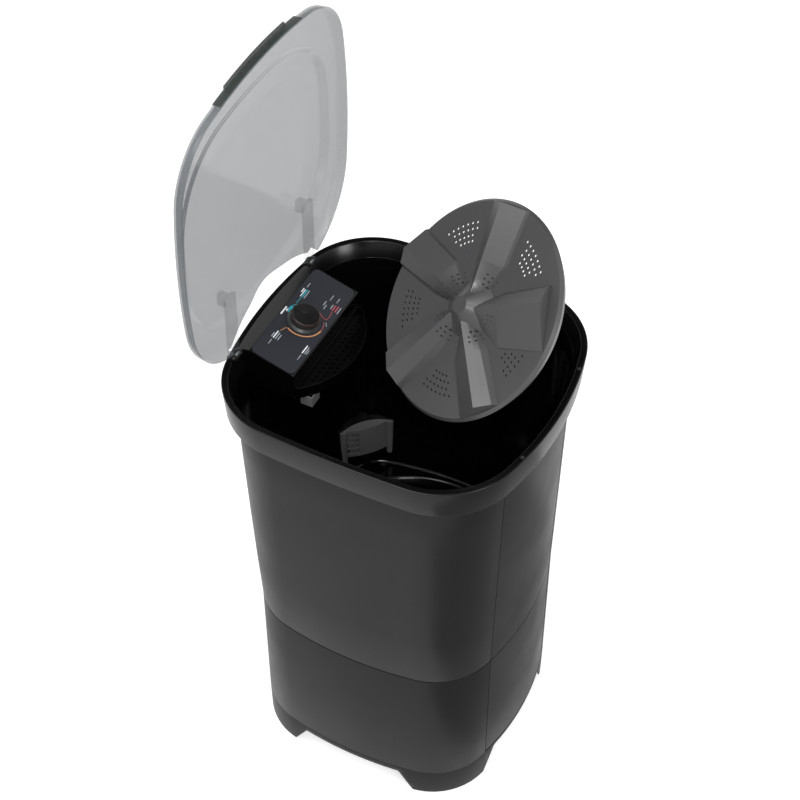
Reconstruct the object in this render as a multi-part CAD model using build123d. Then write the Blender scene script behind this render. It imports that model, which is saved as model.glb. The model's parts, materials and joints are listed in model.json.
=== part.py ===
from build123d import *
import math
import os
from functools import lru_cache
from typing import NamedTuple

# Semi-automatic washing machine, millimetres, +Z up, front towards -Y.
# Origin: on the floor, at the centre of the four foot holes.
# Rest pose: lid open, pulsator lifted out of the tub and leaning.


class Outline(NamedTuple):
    """Plan outline: bowed sides and ends joined by four tangent corner arcs."""

    half_width: float
    half_depth: float
    centre_y: float
    side_bow: float
    front_bow: float
    back_bow: float
    front_corner: float
    back_corner: float

    def inset(self, depth: float) -> "Outline":
        """Parallel outline, smaller by depth all round."""
        return self._replace(
            half_width=self.half_width - depth,
            half_depth=self.half_depth - depth,
            side_bow=self.side_bow - depth,
            front_bow=self.front_bow - depth,
            back_bow=self.back_bow - depth,
            front_corner=self.front_corner - depth,
            back_corner=self.back_corner - depth,
        )

    def corner(self, end_bow: float, radius: float):
        """Side tangent point, middle and end tangent point of a corner arc."""
        side = Vector(self.half_width - self.side_bow, 0)
        end = Vector(0, self.half_depth - end_bow)
        reach = (end - side).length
        along = ((self.side_bow - radius) ** 2 - (end_bow - radius) ** 2 + reach**2) / (2 * reach)
        across = math.sqrt((self.side_bow - radius) ** 2 - along**2)
        line = (end - side).normalized()
        centres = [
            side + line * along + Vector(-line.Y, line.X) * turn * across for turn in (-1, 1)
        ]
        centre = max(centres, key=lambda point: point.X + point.Y)
        from_side = (centre - side).normalized()
        from_end = (centre - end).normalized()
        middle = centre + (from_side + from_end).normalized() * radius
        return side + from_side * self.side_bow, middle, end + from_end * end_bow

    def wire(self, z: float) -> Wire:
        """The outline as eight arcs at height z."""
        front = self.corner(self.front_bow, self.front_corner)
        back = self.corner(self.back_bow, self.back_corner)

        def at(point, x_sign=1, y_sign=1):
            return (x_sign * point.X, self.centre_y + y_sign * point.Y, z)

        right = (self.half_width, self.centre_y, z)
        left = (-self.half_width, self.centre_y, z)
        rear = (0, self.centre_y + self.half_depth, z)
        fore = (0, self.centre_y - self.half_depth, z)
        arcs = [
            (at(front[0], 1, -1), right, at(back[0])),
            (at(back[0]), at(back[1]), at(back[2])),
            (at(back[2]), rear, at(back[2], -1)),
            (at(back[2], -1), at(back[1], -1), at(back[0], -1)),
            (at(back[0], -1), left, at(front[0], -1, -1)),
            (at(front[0], -1, -1), at(front[1], -1, -1), at(front[2], -1, -1)),
            (at(front[2], -1, -1), fore, at(front[2], 1, -1)),
            (at(front[2], 1, -1), at(front[1], 1, -1), at(front[0], 1, -1)),
        ]
        return Wire([ThreePointArc(*arc) for arc in arcs])

    def front_y(self, x: float) -> float:
        """Y of the front bow at x."""
        return self.centre_y - self.half_depth + self.front_bow - math.sqrt(self.front_bow**2 - x**2)

    def back_y(self, x: float) -> float:
        """Y of the back bow at x."""
        return self.centre_y + self.half_depth - self.back_bow + math.sqrt(self.back_bow**2 - x**2)


# General thicknesses and clearances
WALL = 3.0
GAP = 0.3
TOUCH_GAP = 0.4
RUNNING = 0.05
FIT = 0.02
FAR = 400.0

# Heights of the casing
BASE_Z = 72.0
GROOVE_Z = 379.0
GROOVE_WIDTH = 2.0
GROOVE_DEPTH = 1.2
BODY_TOP_Z = 897.0
COLLAR_DEPTH = 61.0
RIM_Z = BODY_TOP_Z - WALL + COLLAR_DEPTH
MOUTH_DEPTH = 30.0
TUB_TOP_Z = RIM_Z - MOUTH_DEPTH

# Plan outlines of the casing
RIM = Outline(275.0, 295.5, 3.3, 2200.0, 620.0, 810.0, 156.0, 150.0)
COLLAR_TAPER = 5.0
BODY_INSET = 23.0
BODY_TOP = RIM.inset(BODY_INSET)
GROOVE = Outline(251.0, 260.0, 0.0, 737.0, 526.0, 526.0, 131.0, 131.0)
BASE = Outline(250.0, 259.0, 0.0, 737.0, 526.0, 526.0, 131.0, 131.0)
FOOT = Outline(249.0, 258.0, 0.0, 737.0, 526.0, 526.0, 131.0, 131.0)

# Mouth and wash tub
RIM_BAND = 12.0
MOUTH_INSET = 24.5
NECK_INSET = 30.0
LEDGE = Outline(232.0, 238.0, 0.0, 640.0, 460.0, 460.0, 95.0, 95.0)
LEDGE_Z = 395.0
RECESS_RADIUS = 204.0
RECESS_CHAMFER = 12.0
TUB_FLOOR_Z = 362.0
TUB_UNDER_Z = TUB_FLOOR_Z - WALL

# Front panel
PANEL_HALF_WIDTH = 132.7
PANEL_BOTTOM_Z = 74.0
PANEL_SIDE_Y = -150.0
FLANGE_WIDTH = 12.0
FLANGE_THICKNESS = 2.5
FLANGE_TOP_Z = 780.0
PANEL_SCREW_X = PANEL_HALF_WIDTH - 5.5
PANEL_SCREW_ZS = (130.0, 300.0, 460.0, 620.0)
SCREW_RADIUS = 2.0
SCREW_HEAD_RADIUS = 3.8
SCREW_HEAD_HEIGHT = 2.4
SCREW_HEAD_SEAT = 0.25

# Feet
FOOT_SPACING_X = 360.0
FOOT_SPACING_Y = 370.0
FOOT_HOLE_RADIUS = 4.2
PAD_RADIUS = 22.0
PAD_HEIGHT = 8.0
FOOT_RING_Z = 4.0
FOOT_WALL = 4.0
FOOT_PLATE = 5.0
ARCH_BOTTOM = 136.0
ARCH_TOP = 104.0
SIDE_ARCH_Z = 57.0
END_ARCH_Z = 66.0
ARCH_CORNER = 8.0
DECK_WIDTH = 45.0

# Lid, given closed: heights above its skirt plane
HINGE_Y = 271.0
HINGE_Z = RIM_Z + 7.0
LID_LIFT = 1.5
LID_Z = RIM_Z + LID_LIFT
LID_OPEN = 90.0
LID_WALL = 2.6
LID = Outline(275.0, 278.7, -10.7, 1115.0, 818.0, 818.0, 133.0, 160.0)
SKIRT_HEIGHT = 17.0
SKIRT_TAPER = 2.0
CREASE = Outline(243.0, 223.5, -0.5, 900.0, 650.0, 650.0, 165.0, 165.0)
CREASE_HEIGHT = 22.0
PLATEAU_HEIGHT = 34.0
PLATEAU_INSET = 12.0
CROWN_HEIGHT = 38.0
CROWN_INSET = 60.0
NOTCH_RADIUS = 253.0
NOTCH_CENTRE_Y = 467.0

# Lid arms, hinge brackets and pins
ARM_INNER_X = 122.4
ARM_WIDTH = 27.2
ARM_FRONT_Y = 130.0
ARM_BACK_Y = HINGE_Y - 12.0
ARM_BOTTOM = 6.0
ARM_TOP = 14.0
ARM_POST_WIDTH = 14.0
ARM_POST_LENGTH = 24.0
KNUCKLE_RADIUS = 6.0
KNUCKLE_WIDTH = 13.2
HINGE_X = 134.0
PIN_RADIUS = 2.5
EAR_THICKNESS = 4.0
EAR_RADIUS = 6.5
BRACKET_HEIGHT = 3.5
BRACKET_HALF_WIDTH = KNUCKLE_WIDTH / 2 + TOUCH_GAP + EAR_THICKNESS

# Lid grip and buffers
GRIP_HALF_WIDTH = 130.0
GRIP_THICKNESS = 2.0
GRIP_GAP = 0.2
LIP_HALF_WIDTH = 95.0
LIP_REACH = 9.0
LIP_HEIGHT = 4.0
BUFFER_X = 117.0
BUFFER_RADIUS = 3.5
BUFFER_HEIGHT = 1.2

# Control housing, label, knob and timer
HOUSING_HALF_WIDTH = 120.0
HOUSING_FRONT_Y = 166.0
HOUSING_BOTTOM_Z = 885.0
SLOPE_FRONT_Z = RIM_Z - 11.0
SLOPE_FRONT_Y = HOUSING_FRONT_Y + 2.0
SLOPE_BACK_Y = 254.0
SLOPE_ANGLE = 15.6
HOUSING_BACK_Z = RIM_Z + 1.5
LABEL_WIDTH = 236.0
LABEL_DEPTH = 88.0
LABEL_CORNER = 10.0
LABEL_THICKNESS = 1.0
LABEL_PROUD = 0.2
KNOB_Y = 211.5
KNOB_HEIGHT = 19.0
KNOB_RADIUS = 26.0
KNOB_SKIRT_RADIUS = 31.0
KNOB_SKIRT_HEIGHT = 5.0
KNOB_BORE_DEPTH = 13.0
POINTER_WIDTH = 5.0
POINTER_HEIGHT = 1.0
SHAFT_RADIUS = 3.0
TIMER_SIDE = 50.0
TIMER_DEPTH = 28.0
TIMER_SHAFT_DEPTH = 18.0

# Soap tray, strainer and rinse spout
TRAY_HALF_WIDTH = 118.0
TRAY_FRONT_Y = 106.0
TRAY_END_DEPTH = 5.0
TRAY_BOTTOM_Z = 888.0
TRAY_HEIGHT = 25.0
TRAY_WALL = 2.5
STRAINER_Z = TRAY_BOTTOM_Z + 11.0
STRAINER_THICKNESS = 2.0
STRAINER_SEAT = 2.0
STRAINER_HOLE_RADIUS = 2.5
STRAINER_PITCH = 12.0
SPOUT_X = -92.0
SPOUT_Y = 150.5
SPOUT_WIDTH = 28.0
SPOUT_DEPTH = 24.0
SPOUT_HEIGHT = 24.0
SPOUT_WALL = 2.0
TRAY_DRAIN_RADIUS = 5.0
TRAY_DRAIN_X = SPOUT_X + 6.0

# Drain filter, rails, hose and outlet
FILTER_X = 282.0
FILTER_Y = 298.5
FILTER_RADIUS = 156.5
FILTER_ANGLES = (209.7, 246.5)
FILTER_BOTTOM_Z = 437.0
FILTER_HEIGHT = 75.0
FILTER_GAP = 0.6
FILTER_SLOT_WIDTH = 7.0
FILTER_SLOT_HEIGHT = 10.5
FILTER_SLOT_PITCH = 9.6
FILTER_SLOT_RISE = 15.5
FILTER_SLOT_ROWS = 4
FILTER_SLOT_COLUMNS = 3
FILTER_SLOT_ANGLE = 213.0
RAIL_RADIUS = 8.0
RAIL_FOOT = 16.0
PORT_X = 185.0
PORT_Y = 190.0
NIPPLE_RADIUS = 10.8
NIPPLE_BORE = 8.5
NIPPLE_LENGTH = 22.0
HOSE_RADIUS = 14.0
HOSE_BORE = 11.0
HOSE_GRIP = 14.0
OUTLET_X = 120.0
OUTLET_Z = 110.0
OUTLET_RADIUS = 12.5
OUTLET_BORE = 9.0
OUTLET_LENGTH = 24.0
OUTLET_FLANGE_RADIUS = 19.0
OUTLET_FLANGE = 4.0

# Bearings, drive shaft, pulleys, belt and motor
HOUSING_FLANGE_RADIUS = 60.0
HOUSING_FLANGE = 6.0
NECK_RADIUS = 25.5
NECK_TOP_Z = 376.7
BOSS_RADIUS = 28.0
BOSS_BOTTOM_Z = 285.0
BEARING_RADIUS = 17.5
BEARING_WIDTH = 11.0
BEARING_LIP = 2.0
BEARING_SHOULDER_Z = 352.0
HOUSING_BORE = 15.0
SEAL_HEIGHT = 8.0
HOUSING_BOLTS = 6
HOUSING_BOLT_CIRCLE = 45.0
BOLT_RADIUS = 3.0
BOLT_HEAD_RADIUS = 5.5
BOLT_HEAD_HEIGHT = 5.0
DRIVE_RADIUS = 7.5
DRIVE_BOTTOM_Z = 250.0
DOG_BOTTOM_Z = 378.0
DOG_HEIGHT = 24.0
DOG_BASE_REACH = 12.0
DOG_TOP_REACH = 6.0
DOG_GAP = 0.3
PULLEY_Z = 262.0
PULLEY_WIDTH = 14.0
PULLEY_RADIUS = 100.0
MOTOR_PULLEY_RADIUS = 25.0
BELT_WIDTH = 9.0
BELT_THICKNESS = 6.0
BELT_GROOVE_DEPTH = 7.0
WEB_THICKNESS = 6.0
PULLEY_RIM = 14.0
PULLEY_HUB_RADIUS = 18.0
NUT_REACH = 12.0
NUT_HEIGHT = 9.0
MOTOR_DISTANCE = 140.0
MOTOR_ANGLE = 215.0
MOTOR_RADIUS = 60.0
MOTOR_HEIGHT = 120.0
MOTOR_CASE = 5.0
MOTOR_CORE_RADIUS = 18.0
MOTOR_TOP_Z = 250.0
MOTOR_SHAFT_RADIUS = 6.0
MOTOR_SHAFT_BELOW = 14.0
FAN_RADIUS = 48.0
FAN_HEIGHT = 9.0
FAN_BLADES = 8
PLATE_THICKNESS = 4.0
PLATE_NEAR = 105.0
PLATE_FAR = 196.0
PLATE_HALF_WIDTH = 88.0
PLATE_HOLE_RADIUS = 20.0
POST_RADIUS = 7.0
POSTS = ((118.0, 75.0), (118.0, -75.0), (180.0, 60.0), (180.0, -60.0))

# Capacitor and cable gland
CAPACITOR_X = 214.0
CAPACITOR_Y = -60.0
CAPACITOR_RADIUS = 22.5
CAPACITOR_Z = 150.0
CAPACITOR_HEIGHT = 90.0
CLIP_THICKNESS = 2.0
CLIP_HEIGHT = 20.0
CLIP_Z = 185.0
CLIP_TAB_WIDTH = 20.0
GLAND_X = -120.0
GLAND_Z = 120.0
GLAND_RADIUS = 9.0
GLAND_BORE = 3.6
GLAND_FLANGE_RADIUS = 12.0
GLAND_FLANGE = 4.0
GLAND_INSIDE = 12.0

# Pulsator, given on its seat: heights above its rim plane
SEAT_Z = 385.0
PULSATOR_RADIUS = 194.0
PULSATOR_WALL = 3.0
PULSATOR_SKIRT = 18.0
PULSATOR_TAPER = 11.0
DISH_INSET = 5.0
DISH_HEIGHT = 6.0
VANES = 5
VANE_PHASE = -36.57
VANE_STATIONS = (
    (26.0, ((-22, 5), (-16, 12), (-6.6, 27), (2, 21), (6, 15), (11, 5))),
    (85.0, ((-45, 5), (-41, 11), (-3, 28), (9, 21), (19, 15), (28, 5))),
    (185.0, ((-46, 5), (-42, 11), (2, 30), (15, 23), (30, 16), (36, 5))),
)
BROAD_VANE = 3
BROAD_STATIONS = (
    (26.0, ((-32, 5), (-29, 9), (-6.6, 27), (2, 21), (6, 15), (11, 5))),
    (76.0, ((-72, 5), (-69, 8), (-4, 28), (8, 21), (18, 15), (27, 5))),
    (170.0, ((-79, 5), (-76, 8), (0, 31), (13, 24), (30, 16), (35, 5))),
)
HUB_RADIUS = 15.0
HUB_HEIGHT = 34.0
HUB_FOOT_RADIUS = 58.0
BOSS_OUTER = 23.0
BOSS_DEPTH = 7.0
BOSS_SHOULDER = 21.0
BOSS_TIP = 13.0
SOCKET_RADIUS = 17.0
SOCKET_TOP = 18.0
BALL_HEIGHT = 24.0
BALL_RADIUS = 5.0
BALL_GAP = 0.15
WASHER_RADIUS = 28.0
WASHER_HEIGHT = 6.0
WASHER_GAP = 0.3
HOLE_RADIUS = 2.5
HOLE_ROWS = ((152.5, 0, 7), (142.0, 0, 6), (131.0, 1, 6), (120.5, 1, 5))
HOLE_START = 22.4
HOLE_PITCH = 4.07
COVERED_HOLES = 2
HUB_HOLE_RADIUS = 1.8
HUB_HOLE_ROWS = ((49.0, 2), (58.0, 3), (67.0, 3))
HUB_HOLE_START = 11.0
HUB_HOLE_PITCH = 7.5

# Lifted pose of the pulsator: ball centre, lean of its axis, heading of the lean, skew of the turn
LIFT_X = -4.5
LIFT_Y = -103.7
LIFT_Z = 1136.8
LEAN = 48.04
HEADING = 144.47
SKEW = 20.0


def box(x0, x1, y0, y1, z0, z1):
    """Box between two corners."""
    return Pos((x0 + x1) / 2, (y0 + y1) / 2, (z0 + z1) / 2) * Box(x1 - x0, y1 - y0, z1 - z0)


def rod(radius, z0, z1, x=0.0, y=0.0):
    """Upright cylinder."""
    return Pos(x, y, (z0 + z1) / 2) * Cylinder(radius, z1 - z0)


def y_rod(radius, y0, y1, x, z):
    """Cylinder along Y."""
    return Pos(x, (y0 + y1) / 2, z) * Rot(90, 0, 0) * Cylinder(radius, y1 - y0)


def cone(r0, r1, z0, z1, x=0.0, y=0.0):
    """Upright cone frustum, radius r0 at z0 and r1 at z1."""
    return Pos(x, y, (z0 + z1) / 2) * Cone(r0, r1, z1 - z0)


def band(z0, z1):
    """Everything between two heights."""
    return box(-FAR, FAR, -FAR, FAR, z0, z1)


def both_sides(piece):
    """A piece and its mirror image in the YZ plane."""
    return [piece, mirror(piece, about=Plane.YZ)]


def skin(stations):
    """Ruled solid through outlines, given as (outline, z)."""
    return Solid.make_loft([outline.wire(z) for outline, z in stations], ruled=True)


@lru_cache(maxsize=None)
def body(inset):
    """Solid space of the casing below the collar, inset all round."""
    stations = ((FOOT, 0), (BASE, BASE_Z), (GROOVE, GROOVE_Z), (BODY_TOP, BODY_TOP_Z))
    return skin([(outline.inset(inset), z) for outline, z in stations])


@lru_cache(maxsize=None)
def tub_space(inset):
    """Space inside the tub and the mouth, inset all round."""
    stations = (
        (LEDGE, LEDGE_Z),
        (RIM.inset(NECK_INSET), BODY_TOP_Z),
        (RIM.inset(MOUTH_INSET), TUB_TOP_Z),
        (RIM.inset(RIM_BAND), RIM_Z),
        (RIM.inset(RIM_BAND), RIM_Z + FAR / 4),
    )
    return skin([(outline.inset(inset), z) for outline, z in stations])


def panel_zone(half_width, z0, z1):
    """Space in front, within half_width of the middle."""
    return box(-half_width, half_width, -FAR, PANEL_SIDE_Y, z0, z1)


def casing_band(z0, z1):
    """Casing wall between two heights, open at the front panel, with its two flanges."""
    wall = (body(0) - body(WALL)) & band(z0, z1)
    wall -= panel_zone(PANEL_HALF_WIDTH + GAP, z0, z1)
    flange = (body(WALL - 1) - body(WALL + GAP + FLANGE_THICKNESS)) & band(z0, z1)
    flange &= panel_zone(PANEL_HALF_WIDTH + FLANGE_WIDTH, z0, min(z1, FLANGE_TOP_Z))
    flange -= panel_zone(PANEL_HALF_WIDTH - FLANGE_WIDTH, z0, z1)
    rebate = (body(0) - body(WALL + GAP)) & panel_zone(PANEL_HALF_WIDTH + GAP, z0, z1)
    return wall + (flange - rebate) - panel_screws(FIT)


def casing_front(z, inset):
    """Front bow of the casing at height z, as an outline."""
    stations = ((FOOT, 0), (BASE, BASE_Z), (GROOVE, GROOVE_Z), (BODY_TOP, BODY_TOP_Z))
    below, above = next(
        (low, high) for low, high in zip(stations, stations[1:]) if z <= high[1]
    )
    share = (z - below[1]) / (above[1] - below[1])
    mixed = [a + (b - a) * share for a, b in zip(below[0], above[0])]
    return Outline(*mixed).inset(inset)


def panel_screws(grow=0.0):
    """Screws from inside through the flanges into the front panel."""
    screws = []
    for z in PANEL_SCREW_ZS:
        front = casing_front(z, WALL + GAP + FLANGE_THICKNESS)
        lean = math.asin(PANEL_SCREW_X / front.front_bow)
        seat = Plane(
            origin=(PANEL_SCREW_X, front.front_y(PANEL_SCREW_X), z),
            z_dir=(-math.sin(lean), math.cos(lean), 0),
        )
        length = FLANGE_THICKNESS + GAP + WALL - 1
        shank = rod(SCREW_RADIUS + grow, -length, SCREW_HEAD_SEAT + 1)
        head = rod(SCREW_HEAD_RADIUS, SCREW_HEAD_SEAT, SCREW_HEAD_SEAT + SCREW_HEAD_HEIGHT)
        screw = shank if grow else shank + head
        screws += both_sides(seat * screw)
    return screws


def cabinet_shell():
    return casing_band(GROOVE_Z + GROOVE_WIDTH / 2, BODY_TOP_Z)


def base_skirt():
    top = GROOVE_Z - GROOVE_WIDTH / 2
    skirt = casing_band(BASE_Z, top)
    lip = (body(WALL - 1) - body(2 * WALL + GAP)) & band(top - 4 * WALL, top)
    lip += (body(WALL + GAP) - body(2 * WALL + GAP)) & band(top, top + 4 * WALL)
    lip -= panel_zone(PANEL_HALF_WIDTH + FLANGE_WIDTH, 0, FAR * 3)
    skirt += lip
    skirt -= y_rod(GLAND_RADIUS + GAP, 0, FAR, GLAND_X, GLAND_Z)
    skirt -= y_rod(OUTLET_RADIUS + GAP, 0, FAR, OUTLET_X, OUTLET_Z)
    return skirt


def front_panel():
    zone = panel_zone(PANEL_HALF_WIDTH, PANEL_BOTTOM_Z, BODY_TOP_Z - WALL - GAP)
    panel = (body(0) - body(WALL)) & zone
    groove = body(0) - body(GROOVE_DEPTH)
    groove &= band(GROOVE_Z - GROOVE_WIDTH / 2, GROOVE_Z + GROOVE_WIDTH / 2)
    return panel - groove - panel_screws(FIT)


def top_frame():
    """Collar: outer skin, flat rim band, inner skirt and turned-in lower lip."""
    bottom = BODY_TOP_Z - WALL
    solid = skin([(RIM.inset(COLLAR_TAPER), bottom), (RIM, RIM_Z)])
    hollow = skin(
        [(RIM.inset(COLLAR_TAPER + WALL), BODY_TOP_Z), (RIM.inset(WALL), RIM_Z - WALL)]
    )
    skirt = skin([(RIM.inset(MOUTH_INSET - WALL), TUB_TOP_Z), (RIM.inset(RIM_BAND - WALL), RIM_Z)])
    mouth = skin([(RIM.inset(MOUTH_INSET), TUB_TOP_Z), (RIM.inset(RIM_BAND), RIM_Z)])
    hole = RIM.inset(BODY_INSET - TOUCH_GAP)
    under = skin([(hole, bottom), (hole, BODY_TOP_Z)])
    return solid - (hollow - skirt) - mouth - under


def foot_places():
    """The four foot positions."""
    return [
        (x * FOOT_SPACING_X / 2, y * FOOT_SPACING_Y / 2) for x in (-1, 1) for y in (-1, 1)
    ]


def arch(top, along_x):
    """Cutter for an arch with slanted sides and rounded upper corners."""
    corners = ((-ARCH_BOTTOM, 0), (-ARCH_TOP, top), (ARCH_TOP, top), (ARCH_BOTTOM, 0))
    profile = make_face(Polyline(*corners, close=True))
    profile = fillet(profile.vertices().sort_by(Axis.Y)[-2:], ARCH_CORNER)
    plane = Plane.YZ if along_x else Plane.XZ
    return extrude(plane * profile, amount=FAR, both=True)


def foot_ring():
    """Moulded base: four corner feet joined by arches and a narrow deck."""
    ring = (body(0) - body(FOOT_WALL)) & band(FOOT_RING_Z, BASE_Z)
    ring -= arch(SIDE_ARCH_Z, True)
    ring -= arch(END_ARCH_Z, False)
    ring += (body(FOOT_WALL - 1) - body(DECK_WIDTH)) & band(END_ARCH_Z, BASE_Z)
    plates = body(FOOT_WALL - 1) & band(PAD_HEIGHT, PAD_HEIGHT + FOOT_PLATE)
    plates -= box(-ARCH_BOTTOM, ARCH_BOTTOM, -FAR, FAR, 0, BASE_Z)
    plates -= box(-FAR, FAR, -ARCH_BOTTOM, ARCH_BOTTOM, 0, BASE_Z)
    ring += plates
    for x, y in foot_places():
        ring -= rod(FOOT_HOLE_RADIUS, 0, BASE_Z, x, y)
    return ring


def foot_pads():
    return [
        rod(PAD_RADIUS, 0, PAD_HEIGHT, x, y) - rod(FOOT_HOLE_RADIUS, 0, PAD_HEIGHT, x, y)
        for x, y in foot_places()
    ]


def wash_tub():
    """Tub: flared mouth, hanging flange, tapered walls, ledge, recess and drain nipple."""
    outer = skin(
        [
            (LEDGE.inset(-WALL), LEDGE_Z - WALL),
            (RIM.inset(NECK_INSET - WALL), BODY_TOP_Z),
            (RIM.inset(MOUTH_INSET - WALL), TUB_TOP_Z),
        ]
    )
    flange = RIM.inset(BODY_INSET + 0.5)
    outer += skin([(flange, BODY_TOP_Z), (flange, BODY_TOP_Z + WALL)])
    outer += rod(RECESS_RADIUS + WALL, TUB_UNDER_Z, LEDGE_Z - WALL / 2)
    outer += rod(NIPPLE_RADIUS, LEDGE_Z - WALL - NIPPLE_LENGTH, LEDGE_Z - WALL / 2, PORT_X, PORT_Y)
    inner = tub_space(0) & band(LEDGE_Z, TUB_TOP_Z)
    recess = rod(RECESS_RADIUS, TUB_FLOOR_Z, LEDGE_Z)
    chamfer_z = LEDGE_Z - RECESS_CHAMFER
    outer += cone(RECESS_RADIUS + WALL, RECESS_RADIUS + RECESS_CHAMFER + WALL, chamfer_z - WALL, LEDGE_Z - WALL)
    recess += cone(RECESS_RADIUS, RECESS_RADIUS + RECESS_CHAMFER, chamfer_z, LEDGE_Z)
    tub = outer - inner - recess
    tub -= rod(NIPPLE_BORE, 0, LEDGE_Z, PORT_X, PORT_Y)
    tub -= rod(NECK_RADIUS + 0.5, 0, LEDGE_Z)
    return tub - housing_bolts(FIT)


def slope_plane(offset=0.0):
    """Plane of the sloping control face at the knob, offset along its normal."""
    lean = math.radians(SLOPE_ANGLE)
    rise = (KNOB_Y - SLOPE_FRONT_Y) * math.tan(lean)
    normal = Vector(0, -math.sin(lean), math.cos(lean))
    origin = Vector(0, KNOB_Y, SLOPE_FRONT_Z + rise) + normal * offset
    return Plane(origin=origin, x_dir=(1, 0, 0), z_dir=normal)


def label_plate(grow=0.0):
    """Label in its place on the slope, grown all round."""
    lean = math.radians(SLOPE_ANGLE)
    middle = ((SLOPE_FRONT_Y + SLOPE_BACK_Y) / 2 - KNOB_Y) / math.cos(lean)
    face = RectangleRounded(LABEL_WIDTH + 2 * grow, LABEL_DEPTH + 2 * grow, LABEL_CORNER)
    seat = slope_plane(LABEL_PROUD - LABEL_THICKNESS) * Pos(0, middle, 0)
    return extrude(seat * face, amount=LABEL_THICKNESS + grow)


def housing_profile(inset):
    """Side outline of the control housing, inset by a wall."""
    lean = math.radians(SLOPE_ANGLE)
    drop = inset / math.cos(lean)
    slope_z = SLOPE_FRONT_Z + (SLOPE_BACK_Y - SLOPE_FRONT_Y) * math.tan(lean)
    end_y = RIM.centre_y + RIM.half_depth + inset
    points = [
        (HOUSING_FRONT_Y + inset, HOUSING_BOTTOM_Z + inset),
        (HOUSING_FRONT_Y + inset, SLOPE_FRONT_Z - 1 - inset),
        (SLOPE_FRONT_Y + inset, SLOPE_FRONT_Z + inset * math.tan(lean) - drop),
        (SLOPE_BACK_Y, slope_z - drop),
        (end_y, HOUSING_BACK_Z - inset),
        (end_y, HOUSING_BOTTOM_Z + inset),
    ]
    return Plane.YZ * make_face(Polyline(*points, close=True))


def control_housing():
    outer = extrude(housing_profile(0), amount=HOUSING_HALF_WIDTH, both=True)
    inner = extrude(housing_profile(WALL), amount=HOUSING_HALF_WIDTH - WALL, both=True)
    shell = (outer & tub_space(TOUCH_GAP)) - inner
    shell -= label_plate(GAP / 2)
    hole = slope_plane() * Cylinder(SHAFT_RADIUS + 1, 4 * WALL)
    return shell - hole


def control_label():
    return label_plate() - slope_plane() * Cylinder(SHAFT_RADIUS + 1, 4 * WALL)


def control_knob():
    """Knob with a flared skirt, a pointer rib and a blind shaft bore."""
    base = LABEL_PROUD + GAP
    knob = slope_plane() * cone(KNOB_SKIRT_RADIUS, KNOB_RADIUS, base, KNOB_SKIRT_HEIGHT)
    knob += slope_plane() * rod(KNOB_RADIUS, KNOB_SKIRT_HEIGHT / 2, KNOB_HEIGHT)
    reach = KNOB_RADIUS - 2
    half = POINTER_WIDTH / 2
    rib = box(-half, half, 0, reach, KNOB_HEIGHT - 1, KNOB_HEIGHT + POINTER_HEIGHT)
    knob += slope_plane() * rib
    return knob - slope_plane() * rod(SHAFT_RADIUS + FIT, 0, KNOB_BORE_DEPTH)


def timer_shaft():
    return slope_plane() * rod(SHAFT_RADIUS, -TIMER_SHAFT_DEPTH, KNOB_BORE_DEPTH - 1)


def timer_body():
    half = TIMER_SIDE / 2
    top = -WALL
    block = slope_plane() * box(-half, half, -half, half, top - TIMER_DEPTH, top)
    return block - slope_plane() * rod(SHAFT_RADIUS + RUNNING, -TIMER_SHAFT_DEPTH - 1, 0)


def tray_bow():
    """Radius of the tray's round front and the Y of its centre."""
    sagitta = HOUSING_FRONT_Y - GAP - TRAY_END_DEPTH - TRAY_FRONT_Y
    radius = (TRAY_HALF_WIDTH**2 + sagitta**2) / (2 * sagitta)
    return radius, TRAY_FRONT_Y + radius


def tray_block(inset, z0, z1):
    """Half-moon solid between two heights, inset by a wall."""
    radius, centre_y = tray_bow()
    half = TRAY_HALF_WIDTH - inset
    block = rod(radius - inset, z0, z1, 0, centre_y)
    return block & box(-half, half, 0, HOUSING_FRONT_Y - GAP - inset, z0, z1)


def spout_box(inset, z0, z1):
    """Upright box in the spout's place."""
    half_x = SPOUT_WIDTH / 2 - inset
    half_y = SPOUT_DEPTH / 2 - inset
    return box(SPOUT_X - half_x, SPOUT_X + half_x, SPOUT_Y - half_y, SPOUT_Y + half_y, z0, z1)


def soap_tray():
    """Half-moon tray with a seat for its strainer and a hole over the spout."""
    top = TRAY_BOTTOM_Z + TRAY_HEIGHT
    tray = tray_block(0, TRAY_BOTTOM_Z, top)
    tray -= tray_block(TRAY_WALL, STRAINER_Z, top + 1)
    tray -= tray_block(TRAY_WALL + STRAINER_SEAT, TRAY_BOTTOM_Z + TRAY_WALL, top + 1)
    return tray - rod(TRAY_DRAIN_RADIUS, TRAY_BOTTOM_Z - 1, STRAINER_Z - 1, TRAY_DRAIN_X, SPOUT_Y)


def soap_strainer():
    """Perforated floor plate of the tray."""
    plate = tray_block(TRAY_WALL + GAP, STRAINER_Z, STRAINER_Z + STRAINER_THICKNESS)
    radius, centre_y = tray_bow()
    margin = TRAY_WALL + STRAINER_SEAT + STRAINER_HOLE_RADIUS + 1
    columns = int(TRAY_HALF_WIDTH / STRAINER_PITCH)
    rows = int((HOUSING_FRONT_Y - TRAY_FRONT_Y) / STRAINER_PITCH)
    holes = []
    for row in range(rows + 1):
        for column in range(-columns, columns + 1):
            x = (column + 0.5 * (row % 2)) * STRAINER_PITCH
            y = TRAY_FRONT_Y + (row + 0.75) * STRAINER_PITCH
            in_bow = math.hypot(x, y - centre_y) < radius - margin
            if in_bow and abs(x) < TRAY_HALF_WIDTH - margin and y < HOUSING_FRONT_Y - GAP - margin:
                holes.append(rod(STRAINER_HOLE_RADIUS, STRAINER_Z, STRAINER_Z + STRAINER_THICKNESS, x, y))
    return plate - holes


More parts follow.
